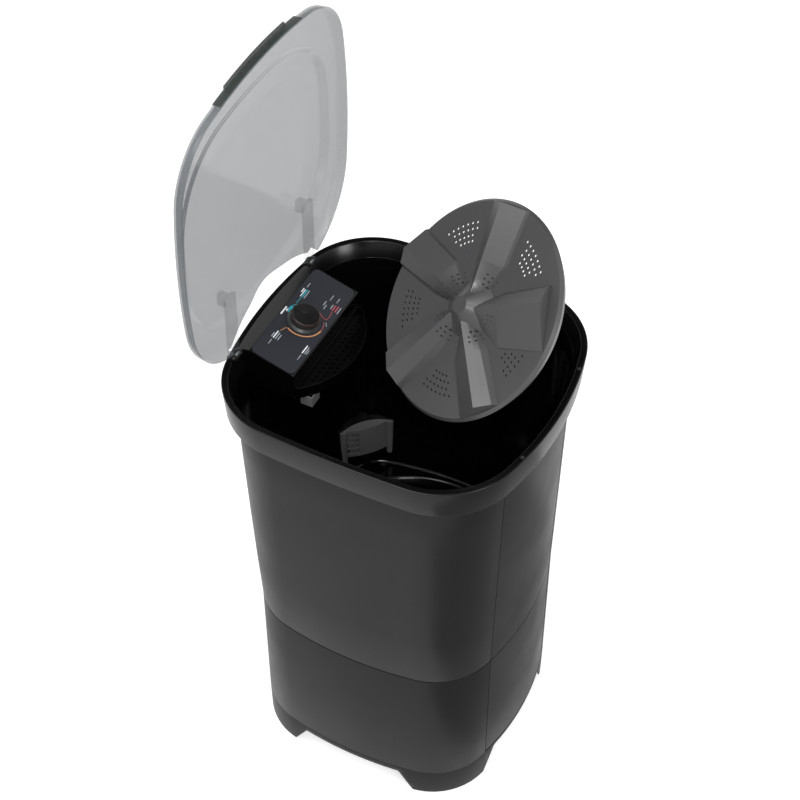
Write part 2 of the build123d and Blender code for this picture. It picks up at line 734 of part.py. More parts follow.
def rinse_spout():
    bottom = TRAY_BOTTOM_Z - SPOUT_HEIGHT
    return spout_box(0, bottom, TRAY_BOTTOM_Z) - spout_box(SPOUT_WALL, bottom, TRAY_BOTTOM_Z)


def lid_space(depth):
    """Solid lid shape, closed, shrunk by a wall."""
    stations = (
        (LID, 0.0),
        (LID.inset(SKIRT_TAPER), SKIRT_HEIGHT),
        (CREASE, CREASE_HEIGHT),
        (CREASE.inset(PLATEAU_INSET), PLATEAU_HEIGHT),
        (CREASE.inset(CROWN_INSET), CROWN_HEIGHT),
    )
    return skin([(outline.inset(depth), LID_Z + height - depth) for outline, height in stations])


def opened(piece):
    """Turn a piece of the lid from closed to its rest pose."""
    return piece.rotate(Axis((0, HINGE_Y, HINGE_Z), (1, 0, 0)), -LID_OPEN)


def lid_shell():
    shell = lid_space(0) - lid_space(LID_WALL)
    shell -= rod(NOTCH_RADIUS, RIM_Z, RIM_Z + FAR / 4, 0, NOTCH_CENTRE_Y)
    inner = ARM_INNER_X - TOUCH_GAP
    outer = ARM_INNER_X + ARM_WIDTH + TOUCH_GAP
    slot = box(inner, outer, ARM_FRONT_Y, FAR, LID_Z - 1, LID_Z + ARM_TOP + GAP)
    for cutter in both_sides(slot):
        shell -= cutter
    return opened(shell)


def lid_grip():
    """Dark cover along the front skirt with a lip to lift by."""

    def layer(reach):
        return skin([(LID.inset(-reach), LID_Z), (LID.inset(SKIRT_TAPER - reach), LID_Z + SKIRT_HEIGHT)])

    top = LID_Z + SKIRT_HEIGHT
    cover = layer(GRIP_GAP + GRIP_THICKNESS)
    cover &= box(-GRIP_HALF_WIDTH, GRIP_HALF_WIDTH, -FAR, 0, LID_Z + 0.5, top)
    lip = layer(LIP_REACH) & box(-LIP_HALF_WIDTH, LIP_HALF_WIDTH, -FAR, 0, top - LIP_HEIGHT, top)
    return opened(cover + lip - layer(GRIP_GAP))


def lid_arms():
    """Two straps under the lid, each with a post to the plateau and a hinge knuckle."""
    outer_x = ARM_INNER_X + ARM_WIDTH
    low = LID_Z + ARM_BOTTOM
    high = LID_Z + ARM_TOP
    arm = box(ARM_INNER_X, outer_x, ARM_FRONT_Y, ARM_BACK_Y, low, high)
    middle = ARM_INNER_X + ARM_WIDTH / 2
    plateau = LID_Z + PLATEAU_HEIGHT - LID_WALL - GAP
    half = ARM_POST_WIDTH / 2
    arm += box(middle - half, middle + half, ARM_FRONT_Y, ARM_FRONT_Y + ARM_POST_LENGTH, high, plateau)
    points = [
        (ARM_BACK_Y - 4, low),
        (ARM_BACK_Y - 4, high),
        (HINGE_Y, HINGE_Z + KNUCKLE_RADIUS),
        (HINGE_Y, HINGE_Z - KNUCKLE_RADIUS),
    ]
    half = KNUCKLE_WIDTH / 2
    neck = extrude(Plane.YZ * make_face(Polyline(*points, close=True)), amount=half, both=True)
    knuckle = Pos(0, HINGE_Y, HINGE_Z) * Rot(0, 90, 0) * Cylinder(KNUCKLE_RADIUS, KNUCKLE_WIDTH)
    bore = Pos(0, HINGE_Y, HINGE_Z) * Rot(0, 90, 0) * Cylinder(PIN_RADIUS + RUNNING, 4 * KNUCKLE_WIDTH)
    arm += Pos(HINGE_X, 0, 0) * (neck + knuckle)
    arm -= Pos(HINGE_X, 0, 0) * bore
    return [opened(side) for side in both_sides(arm)]


def hinge_brackets():
    """Two brackets on the rear rim, each with two ears around a knuckle."""
    seat_front = RIM.inset(RIM_BAND).back_y(HINGE_X - BRACKET_HALF_WIDTH) + GAP
    seat_back = RIM.back_y(HINGE_X + BRACKET_HALF_WIDTH) - GAP
    top = RIM_Z + BRACKET_HEIGHT
    plate = box(-BRACKET_HALF_WIDTH, BRACKET_HALF_WIDTH, seat_front, seat_back, RIM_Z, top)
    r = EAR_RADIUS
    points = [
        (seat_back, RIM_Z),
        (seat_back, top + 1),
        (HINGE_Y + r / 2, HINGE_Z + 0.87 * r),
        (HINGE_Y, HINGE_Z + r),
        (HINGE_Y - 0.71 * r, HINGE_Z + 0.71 * r),
        (HINGE_Y - r, HINGE_Z),
        (HINGE_Y - 0.71 * r, HINGE_Z - 0.71 * r),
        (HINGE_Y, RIM_Z),
    ]
    ear = extrude(Plane.YZ * make_face(Polyline(*points, close=True)), amount=EAR_THICKNESS)
    offset = BRACKET_HALF_WIDTH - EAR_THICKNESS
    bracket = plate + Pos(offset, 0, 0) * ear + Pos(-offset - EAR_THICKNESS, 0, 0) * ear
    bore = Pos(0, HINGE_Y, HINGE_Z) * Rot(0, 90, 0) * Cylinder(PIN_RADIUS + FIT, FAR / 4)
    return both_sides(Pos(HINGE_X, 0, 0) * (bracket - bore))


def hinge_pins():
    pin = Cylinder(PIN_RADIUS, 2 * BRACKET_HALF_WIDTH + 1)
    return both_sides(Pos(HINGE_X, HINGE_Y, HINGE_Z) * Rot(0, 90, 0) * pin)


def lid_buffers():
    y = RIM.inset(RIM_BAND / 2).front_y(BUFFER_X)
    return both_sides(rod(BUFFER_RADIUS, RIM_Z, RIM_Z + BUFFER_HEIGHT, BUFFER_X, y))


def filter_block(inset, z0, z1):
    """Corner space behind a round front, inset by a wall."""
    block = rod(FILTER_RADIUS - inset, z0, z1, FILTER_X, FILTER_Y)
    return block & tub_space(FILTER_GAP + inset)


def drain_filter():
    """Corner filter cover, open below, with a block of square holes at one end."""
    top = FILTER_BOTTOM_Z + FILTER_HEIGHT
    cover = filter_block(0, FILTER_BOTTOM_Z, top)
    cover -= filter_block(WALL, FILTER_BOTTOM_Z - 1, top - WALL)
    turn = math.degrees(FILTER_SLOT_PITCH / FILTER_RADIUS)
    middle_z = FILTER_BOTTOM_Z + FILTER_HEIGHT / 2
    for column in range(FILTER_SLOT_COLUMNS):
        angle = FILTER_SLOT_ANGLE + column * turn
        for row in range(FILTER_SLOT_ROWS):
            z = middle_z + (row - (FILTER_SLOT_ROWS - 1) / 2) * FILTER_SLOT_RISE
            slot = Pos(FILTER_RADIUS, 0, 0) * Box(4 * WALL, FILTER_SLOT_WIDTH, FILTER_SLOT_HEIGHT)
            cover -= Pos(FILTER_X, FILTER_Y, z) * Rot(0, 0, angle) * slot
    return cover


def filter_rails():
    """Guide at each end of the filter, with a foot that the filter stands on."""
    bottom = FILTER_BOTTOM_Z - RAIL_FOOT
    top = FILTER_BOTTOM_Z + FILTER_HEIGHT
    passage = rod(FILTER_RADIUS + TOUCH_GAP, FILTER_BOTTOM_Z - GAP, top, FILTER_X, FILTER_Y)
    rails = []
    for angle in FILTER_ANGLES:
        turn = math.radians(angle)
        x = FILTER_X + FILTER_RADIUS * math.cos(turn)
        y = FILTER_Y + FILTER_RADIUS * math.sin(turn)
        rails.append((rod(RAIL_RADIUS, bottom, top, x, y) & tub_space(GAP)) - passage)
    return rails


def drain_outlet():
    """Spigot through the rear skirt, with an inner nipple for the hose."""
    seat = casing_back_y(OUTLET_X, OUTLET_Z)
    end = seat + OUTLET_FLANGE + OUTLET_LENGTH
    inner = seat - 2 * HOSE_GRIP
    spigot = y_rod(OUTLET_RADIUS, seat - HOSE_GRIP, end, OUTLET_X, OUTLET_Z)
    spigot += y_rod(OUTLET_FLANGE_RADIUS, seat, seat + OUTLET_FLANGE, OUTLET_X, OUTLET_Z)
    spigot += y_rod(NIPPLE_RADIUS, inner, seat, OUTLET_X, OUTLET_Z)
    return spigot - y_rod(OUTLET_BORE, inner, end, OUTLET_X, OUTLET_Z)


def casing_back_y(x, z):
    """Y just behind the casing at x, clear of its curve across a flange."""
    nearest = max(abs(x) - OUTLET_FLANGE_RADIUS, 0)
    return casing_front(z, 0).back_y(nearest) + GAP


def drain_hose():
    """Hose from the tub nipple down to the outlet, as straight runs joined by arcs."""
    start_z = LEDGE_Z - WALL - NIPPLE_LENGTH + HOSE_GRIP
    end_y = casing_back_y(OUTLET_X, OUTLET_Z) - HOSE_GRIP - GAP
    points = [
        (PORT_X, PORT_Y, start_z),
        (PORT_X, PORT_Y, start_z - 160),
        (PORT_X - 35, PORT_Y - 28, start_z - 242),
        (OUTLET_X, end_y - 66, OUTLET_Z),
        (OUTLET_X, end_y, OUTLET_Z),
    ]
    radii = []
    for before, here, after in zip(points, points[1:], points[2:]):
        come = Vector(*here) - Vector(*before)
        leave = Vector(*after) - Vector(*here)
        turn = math.radians(come.get_angle(leave))
        radii.append(0.45 * min(come.length, leave.length) / math.tan(turn / 2))
    print("hose radii", [round(radius, 1) for radius in radii])
    path = FilletPolyline(*points, radius=radii)
    section = Plane(origin=path @ 0, z_dir=path % 0) * (Circle(HOSE_RADIUS) - Circle(HOSE_BORE))
    return sweep(section, path=path)


def housing_bolts(grow=0.0):
    """Bolts that hold the bearing housing to the tub floor."""
    seat = TUB_UNDER_Z - HOUSING_FLANGE
    bolts = []
    for turn in range(HOUSING_BOLTS):
        angle = math.radians(turn * 360 / HOUSING_BOLTS)
        x = HOUSING_BOLT_CIRCLE * math.cos(angle)
        y = HOUSING_BOLT_CIRCLE * math.sin(angle)
        bolt = rod(BOLT_RADIUS + grow, seat, TUB_FLOOR_Z - 1, x, y)
        if not grow:
            bolt += rod(BOLT_HEAD_RADIUS, seat - BOLT_HEAD_HEIGHT, seat, x, y)
        bolts.append(bolt)
    return bolts


def bearing_housing():
    housing = rod(HOUSING_FLANGE_RADIUS, TUB_UNDER_Z - HOUSING_FLANGE, TUB_UNDER_Z)
    housing += rod(NECK_RADIUS, TUB_UNDER_Z - 1, NECK_TOP_Z)
    housing += rod(BOSS_RADIUS, BOSS_BOTTOM_Z, TUB_UNDER_Z - HOUSING_FLANGE / 2)
    housing -= rod(HOUSING_BORE, BOSS_BOTTOM_Z, NECK_TOP_Z)
    housing -= rod(BEARING_RADIUS + FIT, BEARING_SHOULDER_Z, NECK_TOP_Z)
    lower_top = BOSS_BOTTOM_Z + BEARING_LIP + BEARING_WIDTH
    housing -= rod(BEARING_RADIUS + FIT, BOSS_BOTTOM_Z, lower_top)
    return housing - housing_bolts(FIT)


def bearing(z):
    return rod(BEARING_RADIUS, z, z + BEARING_WIDTH) - rod(DRIVE_RADIUS + RUNNING, z, z + BEARING_WIDTH)


def upper_bearing():
    return bearing(BEARING_SHOULDER_Z)


def lower_bearing():
    return bearing(BOSS_BOTTOM_Z + BEARING_LIP)


def shaft_seal():
    z = BEARING_SHOULDER_Z + BEARING_WIDTH + GAP
    return rod(BEARING_RADIUS, z, z + SEAL_HEIGHT) - rod(DRIVE_RADIUS + RUNNING, z, z + SEAL_HEIGHT)


def dog(gap, z0, z1):
    """Six-sided taper of the drive, grown by gap, cut between two heights."""
    slope = (DOG_BASE_REACH - DOG_TOP_REACH) / DOG_HEIGHT

    def section(z):
        reach = DOG_BASE_REACH - slope * (z - DOG_BOTTOM_Z) + gap
        return Pos(0, 0, z) * RegularPolygon(reach, 6, major_radius=False)

    return loft([section(z0), section(z1)], ruled=True)


def drive_shaft():
    shaft = rod(DRIVE_RADIUS, DRIVE_BOTTOM_Z, DOG_BOTTOM_Z)
    return shaft + dog(0, DOG_BOTTOM_Z, DOG_BOTTOM_Z + DOG_HEIGHT)


def pulley_blank(radius, bore, x, y):
    """Grooved pulley rim with a bore."""
    top = PULLEY_Z + PULLEY_WIDTH
    middle = PULLEY_Z + PULLEY_WIDTH / 2
    half = BELT_WIDTH / 2 + 2 * GAP
    blank = rod(radius, PULLEY_Z, top, x, y)
    groove = rod(radius + 1, middle - half, middle + half, x, y)
    groove -= rod(radius - BELT_GROOVE_DEPTH, middle - half, middle + half, x, y)
    return blank - groove - rod(bore + FIT, PULLEY_Z, top, x, y)


def driven_pulley():
    pulley = pulley_blank(PULLEY_RADIUS, DRIVE_RADIUS, 0, 0)
    web = PULLEY_Z + (PULLEY_WIDTH - WEB_THICKNESS) / 2
    ring = rod(PULLEY_RADIUS - PULLEY_RIM, PULLEY_Z, PULLEY_Z + PULLEY_WIDTH)
    ring -= rod(PULLEY_HUB_RADIUS, PULLEY_Z, PULLEY_Z + PULLEY_WIDTH)
    pulley -= ring & band(PULLEY_Z, web)
    return pulley - (ring & band(web + WEB_THICKNESS, PULLEY_Z + PULLEY_WIDTH))


def pulley_nut():
    bottom = PULLEY_Z - NUT_HEIGHT
    nut = extrude(Pos(0, 0, bottom) * RegularPolygon(NUT_REACH, 6, major_radius=False), amount=NUT_HEIGHT)
    return nut - rod(DRIVE_RADIUS + FIT, bottom, PULLEY_Z)


def motor_place():
    """Plan position of the motor shaft."""
    angle = math.radians(MOTOR_ANGLE)
    return MOTOR_DISTANCE * math.cos(angle), MOTOR_DISTANCE * math.sin(angle)


def belt_loop(big, small, z0, z1):
    """Solid inside a loop drawn tight round both pulleys."""
    lean = math.asin((big - small) / MOTOR_DISTANCE)
    sine, cosine = math.sin(lean), math.cos(lean)
    upper = (big * sine, big * cosine), (MOTOR_DISTANCE + small * sine, small * cosine)
    lower = [(x, -y) for x, y in upper]
    loop = [
        Line(upper[0], upper[1]),
        ThreePointArc(upper[1], (MOTOR_DISTANCE + small, 0), lower[1]),
        Line(lower[1], lower[0]),
        ThreePointArc(lower[0], (-big, 0), upper[0]),
    ]
    face = Rot(0, 0, MOTOR_ANGLE) * make_face(loop)
    return Pos(0, 0, z0) * extrude(face, amount=z1 - z0)


def drive_belt():
    middle = PULLEY_Z + PULLEY_WIDTH / 2
    span = (middle - BELT_WIDTH / 2, middle + BELT_WIDTH / 2)
    inner = [radius - BELT_GROOVE_DEPTH + GAP for radius in (PULLEY_RADIUS, MOTOR_PULLEY_RADIUS)]
    outer = [radius + BELT_THICKNESS for radius in inner]
    return belt_loop(*outer, *span) - belt_loop(*inner, *span)


def motor_body():
    x, y = motor_place()
    bottom = MOTOR_TOP_Z - MOTOR_HEIGHT
    motor = rod(MOTOR_RADIUS, bottom, MOTOR_TOP_Z, x, y)
    winding_space = rod(MOTOR_RADIUS - MOTOR_CASE, bottom + MOTOR_CASE, MOTOR_TOP_Z - MOTOR_CASE, x, y)
    motor -= winding_space - rod(MOTOR_CORE_RADIUS, bottom, MOTOR_TOP_Z, x, y)
    return motor - rod(MOTOR_SHAFT_RADIUS + RUNNING, bottom, MOTOR_TOP_Z, x, y)


def motor_shaft():
    bottom = MOTOR_TOP_Z - MOTOR_HEIGHT - MOTOR_SHAFT_BELOW
    return rod(MOTOR_SHAFT_RADIUS, bottom, PULLEY_Z + PULLEY_WIDTH, *motor_place())


def motor_pulley():
    return pulley_blank(MOTOR_PULLEY_RADIUS, MOTOR_SHAFT_RADIUS, *motor_place())


def motor_fan():
    """Cooling fan under the motor: a hub and straight blades on a thin disc."""
    x, y = motor_place()
    top = MOTOR_TOP_Z - MOTOR_HEIGHT - 2
    bottom = top - FAN_HEIGHT
    fan = rod(FAN_RADIUS, top - 2, top) + rod(2 * MOTOR_SHAFT_RADIUS, bottom, top)
    for blade in range(FAN_BLADES):
        turn = Rot(0, 0, blade * 360 / FAN_BLADES)
        fan += turn * box(MOTOR_SHAFT_RADIUS + 3, FAN_RADIUS - 1, -1, 1, bottom, top - 1)
    return Pos(x, y, 0) * (fan - rod(MOTOR_SHAFT_RADIUS + FIT, bottom, top))


def along_motor(piece):
    """Turn a piece drawn along +X towards the motor."""
    return Rot(0, 0, MOTOR_ANGLE) * piece


def motor_plate():
    top = MOTOR_TOP_Z + PLATE_THICKNESS
    plate = box(PLATE_NEAR, PLATE_FAR, -PLATE_HALF_WIDTH, PLATE_HALF_WIDTH, MOTOR_TOP_Z, top)
    near = box(MOTOR_DISTANCE - MOTOR_RADIUS, PLATE_NEAR + 1, -MOTOR_RADIUS / 2, MOTOR_RADIUS / 2, MOTOR_TOP_Z, top)
    plate += near
    plate -= rod(PLATE_HOLE_RADIUS, MOTOR_TOP_Z, top, MOTOR_DISTANCE, 0)
    for along, across in POSTS:
        plate -= rod(BOLT_RADIUS + FIT, MOTOR_TOP_Z, top, along, across)
    return along_motor(plate)


def motor_posts():
    """Four distance posts between the motor plate and the tub floor."""
    bottom = MOTOR_TOP_Z + PLATE_THICKNESS
    posts = []
    for along, across in POSTS:
        post = rod(POST_RADIUS, bottom, TUB_UNDER_Z, along, across)
        post -= rod(BOLT_RADIUS + FIT, bottom, bottom + 3 * BOLT_HEAD_HEIGHT, along, across)
        posts.append(along_motor(post))
    return posts


def motor_bolts():
    bolts = []
    for along, across in POSTS:
        bolt = rod(BOLT_RADIUS, MOTOR_TOP_Z, MOTOR_TOP_Z + PLATE_THICKNESS + 2 * BOLT_HEAD_HEIGHT, along, across)
        bolt += rod(BOLT_HEAD_RADIUS, MOTOR_TOP_Z - BOLT_HEAD_HEIGHT, MOTOR_TOP_Z, along, across)
        bolts.append(along_motor(bolt))
    return bolts


def capacitor():
    return rod(CAPACITOR_RADIUS, CAPACITOR_Z, CAPACITOR_Z + CAPACITOR_HEIGHT, CAPACITOR_X, CAPACITOR_Y)


def capacitor_clip():
    """Band round the capacitor with a tab to the casing wall."""
    top = CLIP_Z + CLIP_HEIGHT
    radius = CAPACITOR_RADIUS + RUNNING
    clip = rod(radius + CLIP_THICKNESS, CLIP_Z, top, CAPACITOR_X, CAPACITOR_Y)
    half = CLIP_TAB_WIDTH / 2
    clip += box(CAPACITOR_X, FAR, CAPACITOR_Y - half, CAPACITOR_Y + half, CLIP_Z, top) & body(WALL + GAP)
    return clip - rod(radius, CLIP_Z, top, CAPACITOR_X, CAPACITOR_Y)


def cable_gland():
    """Gland in the rear skirt where the mains lead passes."""
    seat = casing_front(GLAND_Z, 0).back_y(abs(GLAND_X) - GLAND_FLANGE_RADIUS) + GAP
    end = seat + GLAND_FLANGE
    gland = y_rod(GLAND_RADIUS, seat - GLAND_INSIDE, end, GLAND_X, GLAND_Z)
    gland += y_rod(GLAND_FLANGE_RADIUS, seat, end, GLAND_X, GLAND_Z)
    return gland - y_rod(GLAND_BORE, seat - GLAND_INSIDE, end, GLAND_X, GLAND_Z)


def lean_turn():
    """Axis and angle in degrees of the turn from the seat to the leaning pose."""
    lean, heading, skew = (math.radians(angle) for angle in (LEAN, HEADING, SKEW))
    up = Vector(0, 0, 1)
    normal = Vector(
        math.sin(lean) * math.cos(heading), math.sin(lean) * math.sin(heading), math.cos(lean)
    )
    between = (normal + up).normalized()
    level = up.cross(normal).normalized()
    axis = between * math.cos(skew) + level * math.sin(skew)
    from_up = up - axis * up.dot(axis)
    to_normal = normal - axis * normal.dot(axis)
    turn = math.degrees(math.atan2(from_up.cross(to_normal).dot(axis), from_up.dot(to_normal)))
    return axis, turn


def lifted(piece):
    """Take a piece from the pulsator's seat to its lifted, leaning rest pose."""
    axis, turn = lean_turn()
    turned = piece.rotate(Axis((0, 0, SEAT_Z + BALL_HEIGHT), axis), turn)
    return Pos(LIFT_X, LIFT_Y, LIFT_Z - SEAT_Z - BALL_HEIGHT) * turned


def shrink(points, depth):
    """Polygon moved inwards by depth on every side but its open base."""
    last = len(points) - 1
    lines = []
    for (x0, y0), (x1, y1) in zip(points, points[1:]):
        length = math.hypot(x1 - x0, y1 - y0)
        nx, ny = (y1 - y0) / length, -(x1 - x0) / length
        lines.append((x0 + nx * depth, y0 + ny * depth, x1 - x0, y1 - y0))
    base = points[0][1] - depth
    floor = (points[0][0], base, points[last][0] - points[0][0], 0)
    lines = [floor] + lines + [floor]
    moved = []
    for (ax, ay, adx, ady), (bx, by, bdx, bdy) in zip(lines, lines[1:]):
        share = ((bx - ax) * bdy - (by - ay) * bdx) / (adx * bdy - ady * bdx)
        moved.append((ax + adx * share, ay + ady * share))
    return moved


def vane(stations, depth):
    """One vane with a broad and a stepped side, shrunk by depth."""
    last = stations[-1][0]
    sections = []
    for radius, points in stations:
        reach = radius - depth if radius == last else radius
        plane = Plane(origin=(reach, 0, SEAT_Z), x_dir=(0, 1, 0), z_dir=(1, 0, 0))
        sections.append(plane * make_face(Polyline(*shrink(points, depth), close=True)))
    return loft(sections, ruled=True)


def pulsator_space(depth):
    """Solid shape of dish, hub and vanes, shrunk by depth."""
    top = SEAT_Z + DISH_HEIGHT - depth
    edge = PULSATOR_RADIUS - depth - PULSATOR_TAPER * depth / PULSATOR_SKIRT
    foot = PULSATOR_RADIUS - depth - PULSATOR_TAPER
    shape = cone(foot, edge, SEAT_Z - PULSATOR_SKIRT, SEAT_Z - depth)
    shape += cone(edge, PULSATOR_RADIUS - depth - DISH_INSET, SEAT_Z - depth, top)
    hub = SEAT_Z + HUB_HEIGHT - depth
    shape += cone(HUB_FOOT_RADIUS - depth, HUB_RADIUS - depth, SEAT_Z - depth, hub)
    for turn in range(VANES):
        stations = BROAD_STATIONS if turn == BROAD_VANE else VANE_STATIONS
        shape += Rot(0, 0, VANE_PHASE + turn * 360 / VANES) * vane(stations, depth)
    return shape


def pulsator_holes():
    """Water holes in the five pockets and in ten groups round the hub."""
    places = []
    for turn in range(VANES):
        start = VANE_PHASE + turn * 360 / VANES
        covered = COVERED_HOLES if turn + 1 == BROAD_VANE else 0
        for radius, first, end in HOLE_ROWS:
            for place in range(first, end - covered):
                places.append((HOLE_RADIUS, radius, start + HOLE_START + place * HOLE_PITCH))
        for group in range(2):
            middle = start + HUB_HOLE_START + group * 180 / VANES
            for radius, count in HUB_HOLE_ROWS:
                for place in range(count):
                    offset = (place - (count - 1) / 2) * HUB_HOLE_PITCH
                    places.append((HUB_HOLE_RADIUS, radius, middle + offset))
    holes = []
    for hole, radius, angle in places:
        x, y = radius * math.cos(math.radians(angle)), radius * math.sin(math.radians(angle))
        holes.append(rod(hole, SEAT_Z - PULSATOR_WALL, SEAT_Z + HUB_HEIGHT, x, y))
    return holes


def pulsator():
    """Hollow pulsator with a centre boss for the drive socket and the ball."""
    shell = pulsator_space(0) - pulsator_space(PULSATOR_WALL)
    shell -= pulsator_holes()
    shoulder, tip = SEAT_Z + BOSS_SHOULDER, SEAT_Z + HUB_HEIGHT - PULSATOR_WALL / 2
    shell += rod(BOSS_OUTER, SEAT_Z - BOSS_DEPTH, shoulder)
    shell += cone(BOSS_OUTER, BOSS_TIP, shoulder, tip)
    shell -= rod(SOCKET_RADIUS + FIT, SEAT_Z - BOSS_DEPTH, SEAT_Z + SOCKET_TOP)
    ball = SEAT_Z + BALL_HEIGHT
    cavity = rod(BALL_RADIUS + BALL_GAP, SEAT_Z + SOCKET_TOP - 1, ball + BALL_RADIUS + BALL_GAP)
    return lifted(shell - cavity)


def drive_socket():
    """Insert with a tapered six-sided hole that fits the drive shaft."""
    bottom, top = SEAT_Z - BOSS_DEPTH + GAP, SEAT_Z + SOCKET_TOP
    insert = rod(SOCKET_RADIUS, bottom, top)
    return lifted(insert - dog(DOG_GAP, bottom - 1, top + 1))


def latch_ball():
    """Ball that the pulsator is held by, and that it leans about."""
    return lifted(Pos(0, 0, SEAT_Z + BALL_HEIGHT) * Sphere(BALL_RADIUS))


def hub_washer():
    """Wear ring round the boss."""
    bottom = SEAT_Z - BOSS_DEPTH - 1
    ring = rod(WASHER_RADIUS, bottom, bottom + WASHER_HEIGHT)
    return lifted(ring - rod(BOSS_OUTER + WASHER_GAP, bottom, bottom + WASHER_HEIGHT))


SUBPARTS = [
    foot_ring,
    foot_pads,
    base_skirt,
    cabinet_shell,
    front_panel,
    panel_screws,
    top_frame,
    wash_tub,
    control_housing,
    control_label,
    control_knob,
    timer_shaft,
    timer_body,
    soap_tray,
    soap_strainer,
    rinse_spout,
    lid_shell,
    lid_grip,
    lid_arms,
    lid_buffers,
    hinge_brackets,
    hinge_pins,
    drain_filter,
    filter_rails,
    drain_hose,
    drain_outlet,
    bearing_housing,
    housing_bolts,
    upper_bearing,
    lower_bearing,
    shaft_seal,
    drive_shaft,
    driven_pulley,
    pulley_nut,
    drive_belt,
    motor_body,
    motor_shaft,
    motor_pulley,
    motor_fan,
    motor_plate,
    motor_posts,
    motor_bolts,
    capacitor,
    capacitor_clip,
    cable_gland,
    pulsator,
    drive_socket,
    latch_ball,
    hub_washer,
]

os.makedirs("parts", exist_ok=True)
for subpart in SUBPARTS:
    made = subpart()
    pieces = made if isinstance(made, list) else [made]
    solids = [solid for piece in pieces for solid in piece.solids()]
    export_step(Compound(children=solids), f"parts/{subpart.__name__}.step")
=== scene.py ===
"""Dresses the frame of a single-tub washing machine with finished surfaces.

The machine stands with its smoked lid open and its pulsator lifted out of the
tub. Plan shapes are closed outlines of eight tangent arcs, and most casing
pieces are a profile of (height, inset) carried round such an outline.
"""

from __future__ import annotations

import json
import logging
import math
from dataclasses import dataclass, field
from enum import Enum
from typing import Iterable, Sequence

import bmesh
import bpy
import numpy as np
from mathutils import Matrix, Vector

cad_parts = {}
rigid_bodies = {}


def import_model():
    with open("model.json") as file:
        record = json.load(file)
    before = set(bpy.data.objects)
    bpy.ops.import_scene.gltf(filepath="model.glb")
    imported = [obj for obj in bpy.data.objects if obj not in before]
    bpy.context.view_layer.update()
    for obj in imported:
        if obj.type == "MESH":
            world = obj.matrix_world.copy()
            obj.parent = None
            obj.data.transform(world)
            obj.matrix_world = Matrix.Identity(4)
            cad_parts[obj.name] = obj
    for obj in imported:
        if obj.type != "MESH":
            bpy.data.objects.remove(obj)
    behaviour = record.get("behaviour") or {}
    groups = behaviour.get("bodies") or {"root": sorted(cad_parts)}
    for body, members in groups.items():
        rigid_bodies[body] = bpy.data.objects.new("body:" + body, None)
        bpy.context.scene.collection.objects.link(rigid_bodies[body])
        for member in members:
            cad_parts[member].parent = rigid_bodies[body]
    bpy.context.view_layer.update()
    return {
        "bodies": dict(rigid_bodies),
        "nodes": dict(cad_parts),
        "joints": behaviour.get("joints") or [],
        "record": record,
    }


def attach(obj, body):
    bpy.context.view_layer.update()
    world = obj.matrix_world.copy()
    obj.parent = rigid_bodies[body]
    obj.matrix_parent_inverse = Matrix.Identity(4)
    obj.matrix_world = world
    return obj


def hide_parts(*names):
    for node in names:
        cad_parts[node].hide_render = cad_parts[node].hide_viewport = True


LOG = logging.getLogger("washing_machine")
MM = 0.001

SIDE_STEPS = 12
CORNER_STEPS = 26
END_STEPS = 8
PANEL_HALF = 133.0 * MM

Point2 = tuple[float, float]
Ring = np.ndarray


class Slot(Enum):
    """Material slots of the record."""

    CASING = "casing_plastic"
    TUB = "tub_plastic"
    LID = "lid_plastic"
    GRIP = "grip_plastic"
    LABEL = "label_sheet"
    KNOB = "knob_plastic"
    TRAY = "tray_plastic"
    SPOUT = "spout_plastic"
    FILTER = "filter_plastic"
    PULSATOR = "pulsator_plastic"
    RUBBER = "rubber_black"
    STEEL = "steel"
    ALUMINIUM = "cast_aluminium"
    MOTOR = "motor_paint"
    NYLON = "white_nylon"


class Body(Enum):
    """Moving bodies of the frame."""

    CABINET = "cabinet"
    LID = "lid"
    PULSATOR = "pulsator"
    KNOB = "knob"
    FILTER = "filter"


def linear(hex_colour: str) -> tuple[float, float, float, float]:
    """Turn an sRGB hex colour into linear RGBA.

    Args:
        hex_colour: Six hex digits, with or without a leading mark.

    Returns:
        Linear red, green, blue and an alpha of one.
    """
    digits = hex_colour.lstrip("#")
    parts = [int(digits[start : start + 2], 16) / 255 for start in (0, 2, 4)]
    curved = [
        part / 12.92 if part <= 0.04045 else ((part + 0.055) / 1.055) ** 2.4 for part in parts
    ]
    return curved[0], curved[1], curved[2], 1.0


def add_node(
    tree: bpy.types.NodeTree,
    kind: str,
    settings: dict[str, object] | None = None,
    values: dict[str, object] | None = None,
    links: dict[str, bpy.types.NodeSocket] | None = None,
) -> bpy.types.Node:
    """Add a node with its settings, socket values and incoming links.

    Args:
        tree: Tree that gets the node.
        kind: Node type name.
        settings: Attributes of the node.
        values: Values by input name.
        links: Output sockets by input name.

    Returns:
        The new node.
    """
    node = tree.nodes.new(kind)
    for name, value in (settings or {}).items():
        setattr(node, name, value)
    for name, value in (values or {}).items():
        node.inputs[name].default_value = value
    for name, socket in (links or {}).items():
        tree.links.new(socket, node.inputs[name])
    return node


def socket(sockets: Iterable[bpy.types.NodeSocket], identifier: str) -> bpy.types.NodeSocket:
    """Find a socket by its identifier, where several share a name."""
    return next(found for found in sockets if found.identifier == identifier)


def blank_material(name: str) -> tuple[bpy.types.Material, bpy.types.NodeTree]:
    """Start a material with an empty node tree."""
    material = bpy.data.materials.new(name)
    material.use_nodes = True
    material.node_tree.nodes.clear()
    return material, material.node_tree


